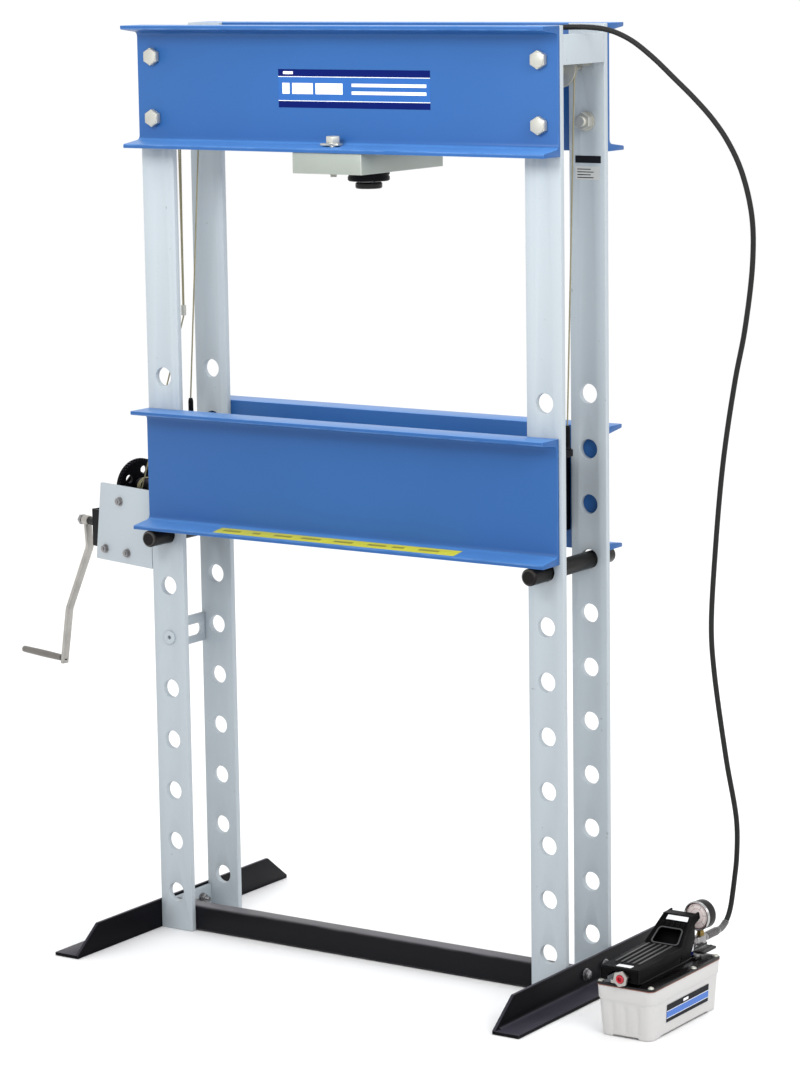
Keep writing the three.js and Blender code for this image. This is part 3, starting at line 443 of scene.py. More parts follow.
def lathe(axis, profile, centre=(0, 0, 0), segments=40, soft=0.0):
    """A profile of (radius, height) turned round an axis through centre: from axis to axis, or closed."""
    closed = profile[0] == profile[-1]
    points = profile[:-1] if closed else profile
    if soft:
        radii = [soft] * len(points)
        if not closed:
            radii[0] = radii[-1] = 0
        points = filleted(points, radii, 2)
    shape = Shape()
    rings = []
    for r, h in points:
        rings.append(len(shape.vertices))
        if r < 1e-6:
            shape.vertices.append(Vector((0, 0, h)))
        else:
            shape.vertices += [Vector((*p, h)) for p in circle(0, 0, r, segments)]
    shape.edge = [0.0] * len(shape.vertices)
    pairs = list(zip(range(len(points)), range(1, len(points))))
    if closed:
        pairs.append((len(points) - 1, 0))
    for a, b in pairs:
        for i in range(segments):
            j = (i + 1) % segments
            first = [rings[a]] if points[a][0] < 1e-6 else [rings[a] + i, rings[a] + j]
            second = [rings[b]] if points[b][0] < 1e-6 else [rings[b] + j, rings[b] + i]
            if len(first) + len(second) > 2:
                shape.faces.append(tuple(first + second))
    shape.slots = [0] * len(shape.faces)
    if sum((v[0].cross(v[1])).dot(v[2]) for v in ([shape.vertices[i] for i in f[:3]] for f in shape.faces)) < 0:
        shape.faces = [f[::-1] for f in shape.faces]
    matrix = {"x": Matrix.Rotation(math.pi / 2, 4, "Y"), "y": Matrix.Rotation(-math.pi / 2, 4, "X"),
              "z": Matrix.Identity(4)}[axis]
    return shape.moved(Matrix.Translation(centre) @ matrix)


def rod(axis, low, high, centre, radius, segments=40, soft=0.8):
    """A round bar from low to high along its axis; centre gives its other two coordinates."""
    place = list(centre)
    place.insert("xyz".index(axis), 0)
    return lathe(axis, [(0, low), (radius, low), (radius, high), (0, high)], place, segments, soft)


def hexagon(axis, low, high, centre, across, bevel=1.2, turn=0.0):
    radius = across / math.sqrt(3)
    outline = [(centre[0] + radius * math.cos(turn + math.pi * i / 3),
                centre[1] + radius * math.sin(turn + math.pi * i / 3)) for i in range(6)]
    return slab(axis, filleted(outline, 1.0, 2), low, high, bevel=bevel)


def thread(axis, low, high, centre, radius, pitch=2.0):
    """A bolt's end, with a ridge for each turn of thread."""
    profile = [(0, low)]
    turns = max(1, int((high - low) / pitch))
    for i in range(turns):
        profile += [(radius - 0.7, low + i * pitch), (radius, low + (i + 0.5) * pitch)]
    profile += [(radius - 0.9, high), (0, high)]
    place = list(centre)
    place.insert("xyz".index(axis), 0)
    return lathe(axis, profile, place, 24)


def tube(points, radius, sides=16, lobes=0, lobe_depth=0.0, twist=0.0, radii=None):
    """A tube along points. With lobes, its section is that of a twisted rope."""
    path = [Vector(p) for p in points]
    ahead = [(path[min(i + 1, len(path) - 1)] - path[max(i - 1, 0)]).normalized() for i in range(len(path))]
    side = ahead[0].orthogonal().normalized()
    made = []
    walked = 0.0
    for i, point in enumerate(path):
        if i:
            walked += (point - path[i - 1]).length
            side = (side - ahead[i] * side.dot(ahead[i])).normalized()
        other = ahead[i].cross(side)
        size = radii[i] if radii else radius
        for k in range(sides):
            angle = 2 * math.pi * k / sides
            r = size - lobe_depth * (0.5 - 0.5 * math.cos(lobes * angle)) if lobes else size
            turned = angle + twist * walked
            made.append(point + (side * math.cos(turned) + other * math.sin(turned)) * r)
    return skinned(made, sides)


def piece(node, shape, material, body="frame", slot=None, sharp=38):
    """A finished object in metres, on the body it rides on. It stands for the CAD node of its name, which it hides,
    or, given slot, it is an extra piece and hides nothing."""
    name = "look_" + node
    mesh = bpy.data.meshes.new(name)
    mesh.from_pydata([v * MM for v in shape.vertices], [], shape.faces)
    materials = material if isinstance(material, list) else [material]
    for each in materials:
        mesh.materials.append(PAINT[each])
    mesh.polygons.foreach_set("material_index", shape.slots)
    mesh.polygons.foreach_set("use_smooth", [True] * len(shape.faces))
    mesh.update()
    mesh.set_sharp_from_angle(angle=math.radians(sharp))
    attribute = mesh.attributes.new("edge", "FLOAT", "POINT")
    attribute.data.foreach_set("value", shape.edge)
    made = bpy.data.objects.new(name, mesh)
    bpy.context.collection.objects.link(made)
    if body:
        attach(made, body)
    if slot:
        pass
    else:
        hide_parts(node)
    return made


def smooth_path(points, spacing):
    """The centripetal curve through points, as the CAD draws it, at even steps of length."""
    knots = [Vector(p) for p in points]
    knots = [knots[0] * 2 - knots[1], *knots, knots[-1] * 2 - knots[-2]]
    line = []
    for a, b, c, d in zip(knots, knots[1:], knots[2:], knots[3:]):
        gaps = [max(1e-4, (q - p).length ** 0.5) for p, q in ((a, b), (b, c), (c, d))]
        start = ((b - a) / gaps[0] - (c - a) / (gaps[0] + gaps[1]) + (c - b) / gaps[1]) * gaps[1]
        end = ((c - b) / gaps[1] - (d - b) / (gaps[1] + gaps[2]) + (d - c) / gaps[2]) * gaps[1]
        for i in range(24):
            t = i / 24
            line.append(b * (2 * t ** 3 - 3 * t ** 2 + 1) + start * (t ** 3 - 2 * t ** 2 + t)
                        + c * (3 * t ** 2 - 2 * t ** 3) + end * (t ** 3 - t ** 2))
    line.append(knots[-2])
    length = sum((q - p).length for p, q in zip(line, line[1:]))
    count = max(2, round(length / spacing))
    made, walked, i = [line[0]], 0.0, 0
    for k in range(1, count):
        target = length * k / count
        while walked + (line[i + 1] - line[i]).length < target:
            walked += (line[i + 1] - line[i]).length
            i += 1
        made.append(line[i].lerp(line[i + 1], (target - walked) / (line[i + 1] - line[i]).length))
    made.append(line[-1])
    return made, length


# ------------------------------------------------------------------ the frame's sizes
HOLE_HEIGHTS = [76.2 + 101.6 * i for i in range(11)]
BUSHED_HOLE = 5
BAR_X = 426
BAR_INNER_X, BAR_OUTER_X = 389, 463
BAR_INNER_Y, BAR_OUTER_Y = 70.8, 82.8
BOLT_HEIGHTS = {"lower": 1585, "upper": 1700}
SHEAVE_X = {"left": -407, "right": 411.7}
SHEAVE_Z = 1680
CROSSHEAD_Z = 1530.5
BOLSTER_Z = 802.1
BOLSTER_RIGHT_END = 456
CHANNEL_WEB = {"crosshead": 83.1, "bolster": 83.7}
PIN_Z = 785.9
FITTING_Z = 1662


def mirrored(sign, low, high):
    return (low, high) if sign > 0 else (-high, -low)


def flip(shape, x=1, y=1):
    return shape.moved(Matrix.Diagonal((x, y, 1, 1)))


def together(*shapes):
    whole = Shape()
    for shape in shapes:
        whole.add(shape)
    return whole


def layered(*shapes):
    """One shape from several, each with the next material."""
    whole = Shape()
    for slot, shape in enumerate(shapes):
        whole.add(shape, slot)
    return whole


def hex_head(axis, low, high, centre, across):
    """A bolt head or nut: a hexagon with a chamfered crown, and a washer face under it."""
    head = hexagon(axis, low + 0.6, high - 1.1, centre, across, bevel=0.9, turn=math.pi / 6)
    head.add(rod(axis, high - 1.4, high, centre, across * 0.48, 36, 1.0))
    return head.add(rod(axis, low, low + 1.2, centre, across * 0.48, 32, 0.3))


def make_frame():
    for face, fore in FACES.items():
        for side, sign in SIDES.items():
            holes = []
            for i, z in enumerate(HOLE_HEIGHTS):
                bushed = (side, face, i) == ("left", "front", BUSHED_HOLE)
                holes.append(circle(sign * BAR_X, z, 8.3 if bushed else 18, 24 if bushed else 56))
            holes += [circle(sign * BAR_X, z, 9.8, 28) for z in BOLT_HEIGHTS.values()]
            holes.append(circle(SHEAVE_X[side], SHEAVE_Z, 5.3, 24))
            outline = filleted(rectangle(*mirrored(sign, BAR_INNER_X, BAR_OUTER_X), 0, 1759), 1.0, 3)
            bar = slab("y", outline, *mirrored(fore, BAR_INNER_Y, BAR_OUTER_Y), holes, bevel=0.8)
            piece(f"upright_{face}_{side}", bar, "grey")
        for name, bottom in (("crosshead", CROSSHEAD_Z), ("bolster", BOLSTER_Z)):
            outline = [(y * fore, z) for y, z in channel_outline(CHANNEL_WEB[name], bottom)]
            body = "frame" if name == "crosshead" else "bolster"
            right_end = BAR_OUTER_X if name == "crosshead" else BOLSTER_RIGHT_END
            beam = slab("x", outline, -BAR_OUTER_X, right_end, bevel=0.8)
            piece(f"{name}_{face}_channel", beam, "blue", body, sharp=50)

        for side, sign in SIDES.items():
            for level, z in BOLT_HEIGHTS.items():
                at = (sign * BAR_X, z)
                bolt = together(
                    hex_head("y", 0, 12, at, 29).moved(Matrix.Translation((0, 101.4 - 12, 0))),
                    rod("y", 68, 90, at, 9.4),
                    thread("y", 45.8, 69, at, 9.4, 2.5),
                    rod("y", 67.5, 70.5, at, 17.5, 40, 0.5),
                    hexagon("y", 52, 67.5, at, 29, 1.6, math.pi / 6),
                )
                name = f"crosshead_bolt_{face}_{side}_{level}"
                piece(name, flip(bolt, y=fore), "zinc")

    for side, sign in SIDES.items():
        x = mirrored(sign, 455, BAR_OUTER_X)
        piece(f"top_strap_{side}", block(x, (-70.5, 70.5), (1690, 1743), 1.0), "grey")
        piece(f"base_plate_{side}", block(x, (-70.5, 70.5), (0.3, 52), 1.0), "grey")
    slot = filleted(rectangle(-61, 61, 564, 588), 11.9, 8)
    strap = slab("x", filleted(rectangle(-70.5, 70.5, 550, 606), 1.5, 3), -463, -455, [slot], bevel=0.8)
    piece("guide_strap_left", strap, "grey")
    bushing = lathe("y", [(4, -8.7), (13, -8.7), (13, -6.3), (8, -6.3), (8, 11), (4, 11), (4, -8.7)],
                    (-BAR_X, -76.8, HOLE_HEIGHTS[BUSHED_HOLE]), 36, 0.5)
    piece("guide_bushing", bushing, "grey")


def channel_outline(web, bottom):
    """The section of a rolled channel with its web at y = web and its flanges reaching outwards."""
    depth, flange, thickness, tip, root, radius = 228.6, 57, 6, 7.5, 14, 9
    slope = (root - tip) / (flange - thickness)
    inner_z = root - slope * radius
    half = [(0, 0), (flange, 0), (flange, tip - 3)]
    half += bend((flange, tip - 3), (flange, tip), (flange - 3, tip + 3 * slope), 4)
    half += [(thickness + radius, inner_z)]
    half += bend((thickness + radius, inner_z), (thickness, root), (thickness, root + radius), 6)
    half = [p for i, p in enumerate(half) if p not in half[:i]]
    whole = half + [(y, depth - z) for y, z in reversed(half)]
    radii = [1.2, 1.2] + [0] * (len(whole) - 4) + [1.2, 1.2]
    return [(web + y, bottom + z) for y, z in filleted(whole, radii, 3)]


def bend(a, b, c, steps):
    """Points of the curve that leaves a towards b and arrives at c, without a."""
    made = []
    for i in range(1, steps + 1):
        t = i / steps
        made.append(tuple((1 - t) ** 2 * p + 2 * t * (1 - t) * q + t * t * r for p, q, r in zip(a, b, c)))
    return made


def make_base():
    for side, sign in SIDES.items():
        shift = {"left": -3, "right": 6}[side]
        wall = filleted([(-345, 0), (345, 0), (345, 6.3), (280, 56), (-280, 56), (-345, 6.3)],
                        [0.8, 0.8, 0, 4, 4, 0], 3)
        leg = slab("x", wall, *mirrored(sign, 463.3, 469.6), bevel=0.8)
        sole = block(mirrored(sign, 463.3, 519.3), (-345, 345), (0, 6.3), 0.9, corner=2)
        root = [(sign * x, z) for x, z in
                [(469, 6), (477, 6.2), *bend((477, 6.2), (469.5, 6.4), (469.5, 14), 6), (469, 14)]]
        corner = slab("y", root, -332, 332, bevel=0)
        foot = together(leg, sole, corner).at(y=shift)
        piece(f"foot_{side}", foot, "black")
        for number, y in enumerate({"left": (5, 38), "right": (-24, 46)}[side]):
            at = (y, 30)
            bolt = together(
                rod("x", 469.7, 471.5, at, 11.5, 36, 0.4),
                hex_head("x", 471.4, 479, at, 17),
                rod("x", 455, 470, at, 5.5),
                thread("x", 436, 456, at, 5.5, 1.8),
                rod("x", 453, 454.9, at, 11, 36, 0.4),
                hexagon("x", 444, 453, at, 17, 1.2, math.pi / 6),
            )
            piece(f"foot_bolt_{side}_{number}", flip(bolt, x=sign), "steel", slot="zinc")
    section = filleted(rectangle(-70.5, -36.5, 0, 50.8), 5, 4)
    hollow = filleted(rectangle(-66.5, -40.5, 4, 46.8), 2, 3)
    beam = slab("x", section, -454.7, 454.7, [hollow], bevel=0.6)
    piece("cross_beam", beam, "beam")


def make_ram():
    table = slab("z", filleted(rectangle(-76, 76, -136.5, 136.5), 1.5, 3), 1492.1, 1530.2,
                 [circle(0, 0, 36.3, 64)], bevel=1.2)
    piece("cylinder_plate", table, "plate")
    for face, fore in FACES.items():
        clamp = together(
            block((-24, 16), (105, 123), (1542.9, 1546.9), 1.0, corner=3),
            rod("z", 1546.8, 1548.6, (0, 114), 13.5, 36, 0.5),
            hexagon("z", 1548.4, 1560.4, (0, 114), 24, 1.8),
            rod("z", 1491, 1548, (0, 114), 6.3),
            thread("z", 1486.1, 1492, (0, 114), 6.3, 1.5),
        )
        piece(f"plate_clamp_{face}", flip(clamp, y=fore), "zinc")
    barrel = lathe("z", [(25, 1492.1), (36, 1492.1), (36, 1530.5), (43, 1530.5), (43, 1692), (37, 1698), (0, 1698),
                         (0, 1662.1), (25, 1662.1), (25, 1492.1)], segments=64, soft=0.0)
    port = rod("x", 38, 50, (0, FITTING_Z), 13, 40, 1.5)
    weld = lathe("z", [(43, 1684), (44.2, 1686), (44.2, 1688), (43, 1690), (43, 1684)], segments=64, soft=0.8)
    piece("cylinder_body", together(barrel, port, weld), "blue")
    gland = lathe("z", [(24.6, 1472), (37, 1472), (39, 1474), (39, 1480), (37.6, 1481), (37.6, 1483), (39, 1484),
                        (39, 1491.8), (24.6, 1491.8), (24.6, 1472)], segments=64, soft=0.5)
    piece("gland_ring", gland, "black")
    rod_end = lathe("z", [(0, 1468), (22, 1468.5), (24, 1471), (24, 1650), (0, 1650)], segments=64, soft=0.4)
    cap = lathe("z", [(0, 1458), (8, 1458), (9, 1459.5), (21, 1459.5), (22, 1458), (23, 1458), (25, 1460),
                      (25, 1467), (24, 1468.6), (0, 1468.6)], segments=64, soft=0.4)
    piece("ram", layered(rod_end, cap), ["chrome", "dark"], "ram")


def make_bolster():
    for side, sign in SIDES.items():
        spacer = together(
            block((338, 380), (-83.4, 83.4), (836.1, 986.1), 1.5, corner=2),
            block((342, 429), (-15, 15), (985.1, 998.1), 1.2, corner=6),
            lathe("z", [(0, 997.1), (7, 997.1), (7, 1001), (5, 1003), (5, 1036), (3.6, 1042.1), (0, 1042.1)],
                  (424, 0, 0), 32, 0.5),
        )
        name = f"bolster_spacer_{side}"
        piece(name, flip(spacer, x=sign), "black", "bolster")
        pin = lathe("y", [(0, -143), (11.4, -143), (12.4, -143), (15.9, -139.6), (15.9, 139.6), (12.4, 143),
                             (11.4, 143), (0, 143)],
                    (sign * BAR_X, 0, PIN_Z), 48, 0.8)
        # The end chamfers are marked as edge: rubbed steel there, and the lighter ring is also a painted highlight on
        # the pins' ends.
        pin.edge = [1.0 if 12 < math.hypot(v.x - sign * BAR_X, v.z - PIN_Z) < 15.5 else 0.0 for v in pin.vertices]
        piece(f"bolster_pin_{side}", pin, "pin", f"pin_{side}")


# ------------------------------------------------------------------ winch
WINCH = Matrix.Translation((-463.4, -82.8, 0)) @ Matrix.Rotation(math.radians(-15), 4, "Z")
DRUM_AXIS = (66, 858)
CRANK_AXIS = (46, 775)
GRIP_AXIS = (46, 480)
GEAR_X = (-124, -117)
ROPE_RADIUS = 1.6
GROOVE_RADIUS = 29


def gear_outline(centre, outer, root, teeth, turn=0.0):
    made = []
    for i in range(teeth):
        for share, radius in ((0.0, root), (0.22, root), (0.34, outer), (0.62, outer), (0.74, root)):
            angle = turn + 2 * math.pi * (i + share) / teeth
            made.append((centre[0] + radius * math.cos(angle), centre[1] + radius * math.sin(angle)))
    return made


def make_winch():
    outline = filleted([(-182, 715), (-2.4, 715), (-2.4, 868), (-162, 868)], 2, 3)
    mount = slab("y", outline, 0, 6, bevel=0.8)
    piece("winch_plate", mount.moved(WINCH), "grey")
    for number, at in enumerate(((-100, 837), (-150, 738), (-79, 737))):
        bolt = together(
            rod("y", -1.6, -0.1, at, 9, 32, 0.3),
            hexagon("y", -8, -1.5, at, 13, 1.0, 0.4 * number),
            thread("y", -10, -8, at, 3.8, 1.2),
            rod("y", -1, 12, at, 3.8),
            rod("y", 9.4, 13.5, at, 8, 32, 1.6),
        )
        piece(f"winch_plate_bolt_{number}", bolt.moved(WINCH), "steel", slot="zinc")

    bores = [circle(*CRANK_AXIS, 8.4, 32), circle(*DRUM_AXIS, 7.4, 32)]
    low = filleted([(6.3, 737), (70, 737), (70, 802), (62, 811), (6.3, 811)], [2, 8, 2, 4, 2], 4)
    tall = filleted([(6.3, 737), (76, 737), (90, 840), (90, 872), (78, 884), (54, 884), (42, 872), (30, 850),
                     (6.3, 850)], [2, 8, 4, 6, 6, 6, 6, 8, 2], 4)
    base = block((-201, -50), (6.3, 9.3), (737, 811), 0.8)
    tab = block((-132, -50), (6.3, 9.3), (810, 850), 0.8)
    cheeks = [slab("x", low, -201, -197, bores[:1]), slab("x", tall, -132, -128, bores),
              slab("x", tall, -54, -50, bores)]
    spreader = rod("x", -129, -53, (80, 752), 4.5)
    caps = [hexagon("x", x, x + 4, (80, 752), 13, 0.8) for x in (-136, -50)]
    piece("winch_frame", together(base, tab, *cheeks, spreader, *caps).moved(WINCH), "black")

    windows = []
    for i in range(5):
        angle = 0.07 + 2 * math.pi * i / 5
        windows.append(circle(DRUM_AXIS[0] + 33 * math.cos(angle), DRUM_AXIS[1] + 33 * math.sin(angle), 8, 28))
    gear = slab("x", gear_outline(DRUM_AXIS, 55, 51.4, 48), *GEAR_X, windows, bevel=0.3, steps=1)
    drum = lathe("x", [(0, -138), (6, -138), (7, -137), (7, -124), (17, -123), (17, -63), (26, -63), (28, -62),
                       (28, -60), (26, -59), (7, -59), (7, -45), (6, -44), (0, -44)], (0, *DRUM_AXIS), 48, 0.3)
    rim = lathe("x", [(46, -125.2), (55, -125.2), (55, -123.6), (46, -123.6), (46, -125.2)], (0, *DRUM_AXIS), 72, 0.5)
    # The whole rim is marked as edge, so it takes the lighter wear colour all round: a painted highlight along the
    # gear rim.
    rim.edge = [1.0] * len(rim.vertices)
    piece("winch_drum", together(gear, drum, rim).moved(WINCH), "black", "winch_drum", sharp=30)
    turns, steps = 3, 40
    coil = []
    for i in range(turns * steps + 1):
        angle = math.pi + 2 * math.pi * i / steps
        coil.append((-93.6 - 3.5 * i / steps, DRUM_AXIS[0] + 18.7 * math.cos(angle),
                     DRUM_AXIS[1] + 18.7 * math.sin(angle)))
    rope = tube(coil, ROPE_RADIUS, 12, 6, 0.35, 0.35)
    piece("rope_on_drum", rope.moved(WINCH), "rope", "winch_drum", slot="wire_rope", sharp=60)

    shaft = together(
        lathe("x", [(0, -289), (7, -289), (8, -288), (8, -47), (7, -46), (0, -46)], (0, *CRANK_AXIS), 40, 0.3),
        slab("x", gear_outline(CRANK_AXIS, 29.7, 26.4, 24, 0.05), *GEAR_X, bevel=0.3, steps=1),
        rod("x", -190, -185, CRANK_AXIS, 15, 40, 1.0),
        # This dark disc fills the bore of the ring on the crank arm: painted shade in place of the hole.
        rod("x", -362, -358.6, GRIP_AXIS, 3.5, 24, 0.2),
    )
    nut = hexagon("x", -291, -283, CRANK_AXIS, 19, 1.2)
    hub = rod("x", -281, -262, CRANK_AXIS, 9.8, 40, 1.2)
    bar = [(-267.5, 777), (-262.5, 720), (-337.5, 585), (-360.5, 470), (-367.5, 470), (-344.5, 587), (-269.5, 724),
           (-274.5, 777)]
    arm = slab("y", filleted(bar, [1, 14, 30, 1, 1, 36, 20, 1], 6), 38, 54, bevel=1.6, steps=3)
    handle = together(
        arm,
        rod("x", -504, -363, GRIP_AXIS, 4),
        rod("x", -504, -500.3, GRIP_AXIS, 6.5, 32, 1.2),
        lathe("x", [(3.4, -361), (7, -361), (7, -358.4), (6.2, -357.6), (4, -357.6), (3.4, -358.4), (3.4, -361)],
              (0, *GRIP_AXIS), 32, 0.3),
    )
    crank = layered(shaft, nut, hub.add(handle))
    piece("winch_crank", crank.moved(WINCH), ["dark", "steel", "crank"], "winch_crank")
    grip = lathe("x", [(4.4, -500), (6.2, -500), (6.6, -498), (7.2, -440), (7.2, -432), (6.6, -374), (6.2, -372),
                       (4.4, -372), (4.4, -500)], (0, *GRIP_AXIS), 40, 0.4)
    piece("crank_grip", grip.moved(WINCH), "grip", "crank_grip")


# ------------------------------------------------------------------ sheaves and lifting ropes
def wire(points, spacing=2.5):
    line = [Vector(points[0])]
    for a, b in zip(points, points[1:]):
        a, b = Vector(a), Vector(b)
        count = max(1, round((b - a).length / spacing))
        line += [a.lerp(b, (i + 1) / count) for i in range(count)]
    return tube(line, ROPE_RADIUS, 18, 6, 0.4, 0.3)


def over_sheave(x, y, start, end, steps=24):
    return [(x + GROOVE_RADIUS * math.cos(start + (end - start) * i / steps), y,
             SHEAVE_Z + GROOVE_RADIUS * math.sin(start + (end - start) * i / steps)) for i in range(steps + 1)]


def make_lift():
    for side, grooves in (("left", (-4, 4)), ("right", (4,))):
        start = grooves[0] - 3.6
        profile = [(0, -82.5), (4, -82.5), (5, -81.5), (5, start - 8), (10, start - 8), (10, start)]
        for y in grooves:
            profile += [(32.4, y - 3.6), (33, y - 3.1), (27.4, y - 1.9), (26.9, y - 1.0), (26.9, y + 1.0),
                        (27.4, y + 1.9), (33, y + 3.1), (32.4, y + 3.6)]
        profile += [(10, 7.6), (10, 15.6), (5, 15.6), (5, 81.5), (4, 82.5), (0, 82.5)]
        sheave = lathe("y", profile, (SHEAVE_X[side], 0, SHEAVE_Z), 64)
        piece(f"sheave_{side}", sheave, "zinc", f"sheave_{side}")
    top = SHEAVE_Z - 0.9
    left, right = SHEAVE_X["left"], SHEAVE_X["right"]
    loop = over_sheave(left, -4, 0, math.pi, 40)
    piece("cable_over_left", tube(loop, ROPE_RADIUS, 18, 6, 0.4, 0.3), "rope", sharp=60)
    run = over_sheave(left, 4, math.pi, math.pi / 2) + over_sheave(right, 4, math.pi / 2, 0)
    piece("cable_cross_run", wire(run), "rope", sharp=60)
    for side, x, y in (("left", left + GROOVE_RADIUS, -4), ("right", right + GROOVE_RADIUS, 4)):
        sign = SIDES[side]
        drop = wire([(x, y, top), (sign * 424, 0, 1042.7)])
        made = piece(f"cable_{side}_drop", drop, "rope", sharp=60)
        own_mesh(made)
    tie = left - GROOVE_RADIUS
    pair = together(*(wire([(tie, s * 4, top), (tie, s * 1.3, 1357), (tie, s * 1.3, 1222.3)]) for s in (-1, 1)))
    made = piece("cable_tie_pair", pair, "rope", None, sharp=60)
    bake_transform(made)
    ferrule = lathe("z", [(0, 1202), (4.2, 1202), (5, 1203), (5, 1206), (4.5, 1207), (5, 1208), (5, 1216),
                          (4.5, 1217), (5, 1218), (5, 1221), (4.2, 1222), (0, 1222)], (tie, 0, 0), 36, 0.3)
    piece("cable_ferrule", ferrule, "zinc", "cable_ferrule")
    drum_point = WINCH @ Vector((-90, DRUM_AXIS[0] - 19, DRUM_AXIS[1]))
    strand = wire([(tie, 0, 1201.1), drum_point])
    made = piece("cable_winch_strand", strand, "rope", sharp=60)
    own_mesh(made)


# ------------------------------------------------------------------ pump
PUMP = Matrix.Translation((677, -117, 0))
INLET = (-2, 111)
OUTLET_X, OUTLET_Z = 13, 121


def rounded(half_x, half_y, radius, across=9, steps=8):
    """A rounded rectangle whose sides are divided, so that they can be shaped."""
    made = []
    for sx, sy, start in ((1, 1, 0), (-1, 1, 90), (-1, -1, 180), (1, -1, 270)):
        centre = (sx * (half_x - radius), sy * (half_y - radius))
        corner = [(centre[0] + radius * math.cos(math.radians(start + 90 * i / steps)),
                   centre[1] + radius * math.sin(math.radians(start + 90 * i / steps))) for i in range(steps + 1)]
        if made:
            made += [tuple(Vector(made[-1]).lerp(Vector(corner[0]), (i + 1) / (4 * across)))
                     for i in range(4 * across - 1)]
        made += corner
    made += [tuple(Vector(made[-1]).lerp(Vector(made[0]), (i + 1) / (4 * across))) for i in range(4 * across - 1)]
    return made


def make_tank():
    levels = [(0, 50.5, 119, 13), (0.8, 51.3, 119.8, 14), (4, 51.7, 120.2, 14), (9, 52, 120.5, 14),
              (12, 52.1, 120.7, 14), (56, 54.8, 123.3, 14), (60, 55, 123.5, 14), (66, 55.4, 123.9, 14),
              (67.2, 56.4, 124.9, 14), (68.4, 57, 125.5, 14), (90.6, 58, 126.5, 14), (92, 57, 125.5, 13)]
    made = []
    for z, half_x, half_y, radius in levels:
        panel = 12 <= z <= 56
        for x, y in rounded(half_x, half_y, radius):
            height = z
            flat_x, flat_y = abs(x) < half_x - radius, abs(y) < half_y - radius
            if flat_x and panel:
                y -= math.copysign(2.6 * (0.5 + 0.5 * math.cos(2 * math.pi * x / 25)) ** 2, y)
            if flat_y and panel and abs(y) < 98:
                x -= math.copysign(0.8, x)
            if z < 4 and ((flat_x and abs(x) < 26) or (flat_y and abs(y) < 88)):
                height = z + 4
            made.append((x, y, height))
    tank = skinned(made, len(made) // len(levels))
    piece("pump_reservoir", tank.moved(PUMP), "tank", sharp=40)

    gasket = slab("z", rounded(58.4, 126.9, 12, 1), 91.8, 93.2, bevel=0.2)
    piece("cover_gasket", gasket.moved(PUMP), "gasket", slot="hose_rubber")
    cover = slab("z", rounded(58.5, 127, 12, 1), 92.9, 97, bevel=1.2, steps=3)
    piece("pump_cover", cover.moved(PUMP), "cover")
    screws = Shape()
    for x, y in ((-50, -118), (50, -118), (-50, 118), (50, 118), (-53, 30), (53, 30)):
        profile = [(0, 96.8), (5.6, 96.8), (5.6, 97.6), (4.6, 99.4), (2.4, 100.4), (2.0, 99.2), (0, 99.2)]
        screws.add(lathe("z", profile, (x, y, 0), 28, 0.2))
    piece("cover_screws", screws.moved(PUMP), "zinc", slot="zinc")

    face = 55.1
    bands = [("ink", 44, 55), ("white", 43, 44), ("sky", 31, 43), ("white", 30, 31), ("ink", 23, 30)]
    label = Shape()
    for slot, (_, low, high) in enumerate(bands):
        label.add(patch("x", (-68, 83, low, high), face - 1.7, face - 0.9), slot)
    label.add(patch("x", (-10, 8, 47, 52), face - 1.6, face - 0.85), 1)
    label.warped(lambda v: (v.x + (v.z - 39) * 0.06, v.y, v.z))
    piece("reservoir_label", label.moved(PUMP), [b[0] for b in bands], slot="blue_paint")


def make_pump_body():
    base = block((-34, 26), (-108, 97), (97.3, 101), 0.8, corner=3)
    shelf = block((20, 34), (76, 97), (97.3, 101), 0.8, corner=3)
    motor = block((-28, 24), (-108, 52), (100, 116), 2.5, corner=4)
    ribs = [block((-26, 22), (y, y + 3), (99, 117.4), 0.6) for y in range(-98, 45, 12)]
    casting = block((-26, 18), (51, 95), (100, 131), 2.0, corner=3)
    boss = rod("z", 130, 133, (-4, 73), 11, 40, 1.0)
    post = rod("z", 100, 105, (28, 88), 5)
    pivot = rod("x", -42, 30, (22, 110), 4)
    whole = layered(together(base, shelf, motor, pivot, *ribs), together(casting, boss, post))
    piece("pump_body", whole.moved(PUMP), ["cover", "cast"])
    label = layered(*(patch("x", (54, 94, low, high), 17.6, 18.2) for low, high in ((108, 129.5), (102, 108))))
    piece("body_label", label.moved(PUMP), ["white", "navy"], slot="gauge_white")
    neck = rod("y", -131, -108.3, INLET, 6.5)
    elbow = block((-26, 2), (-129.5, -122), (99.5, 106), 1.5, corner=3)
    socket = circle(*INLET, 7.6, 32)
    flats = [(INLET[0] + 14.9 * math.cos(0.3 + math.pi * i / 3), INLET[1] + 14.9 * math.sin(0.3 + math.pi * i / 3))
             for i in range(6)]
    nut = slab("y", filleted(flats, 2, 3), -137, -130.5, [socket], bevel=1.4)
    plug = lathe("y", [(0, -133), (4.2, -133), (4.2, -138.2), (6.4, -138.8), (7.4, -137.4), (7.4, -131), (0, -131)],
                 (INLET[0], 0, INLET[1]), 36, 0.3)
    inlet = layered(neck.add(elbow).add(nut), plug)
    piece("air_inlet", inlet.moved(PUMP), ["crank", "red"])


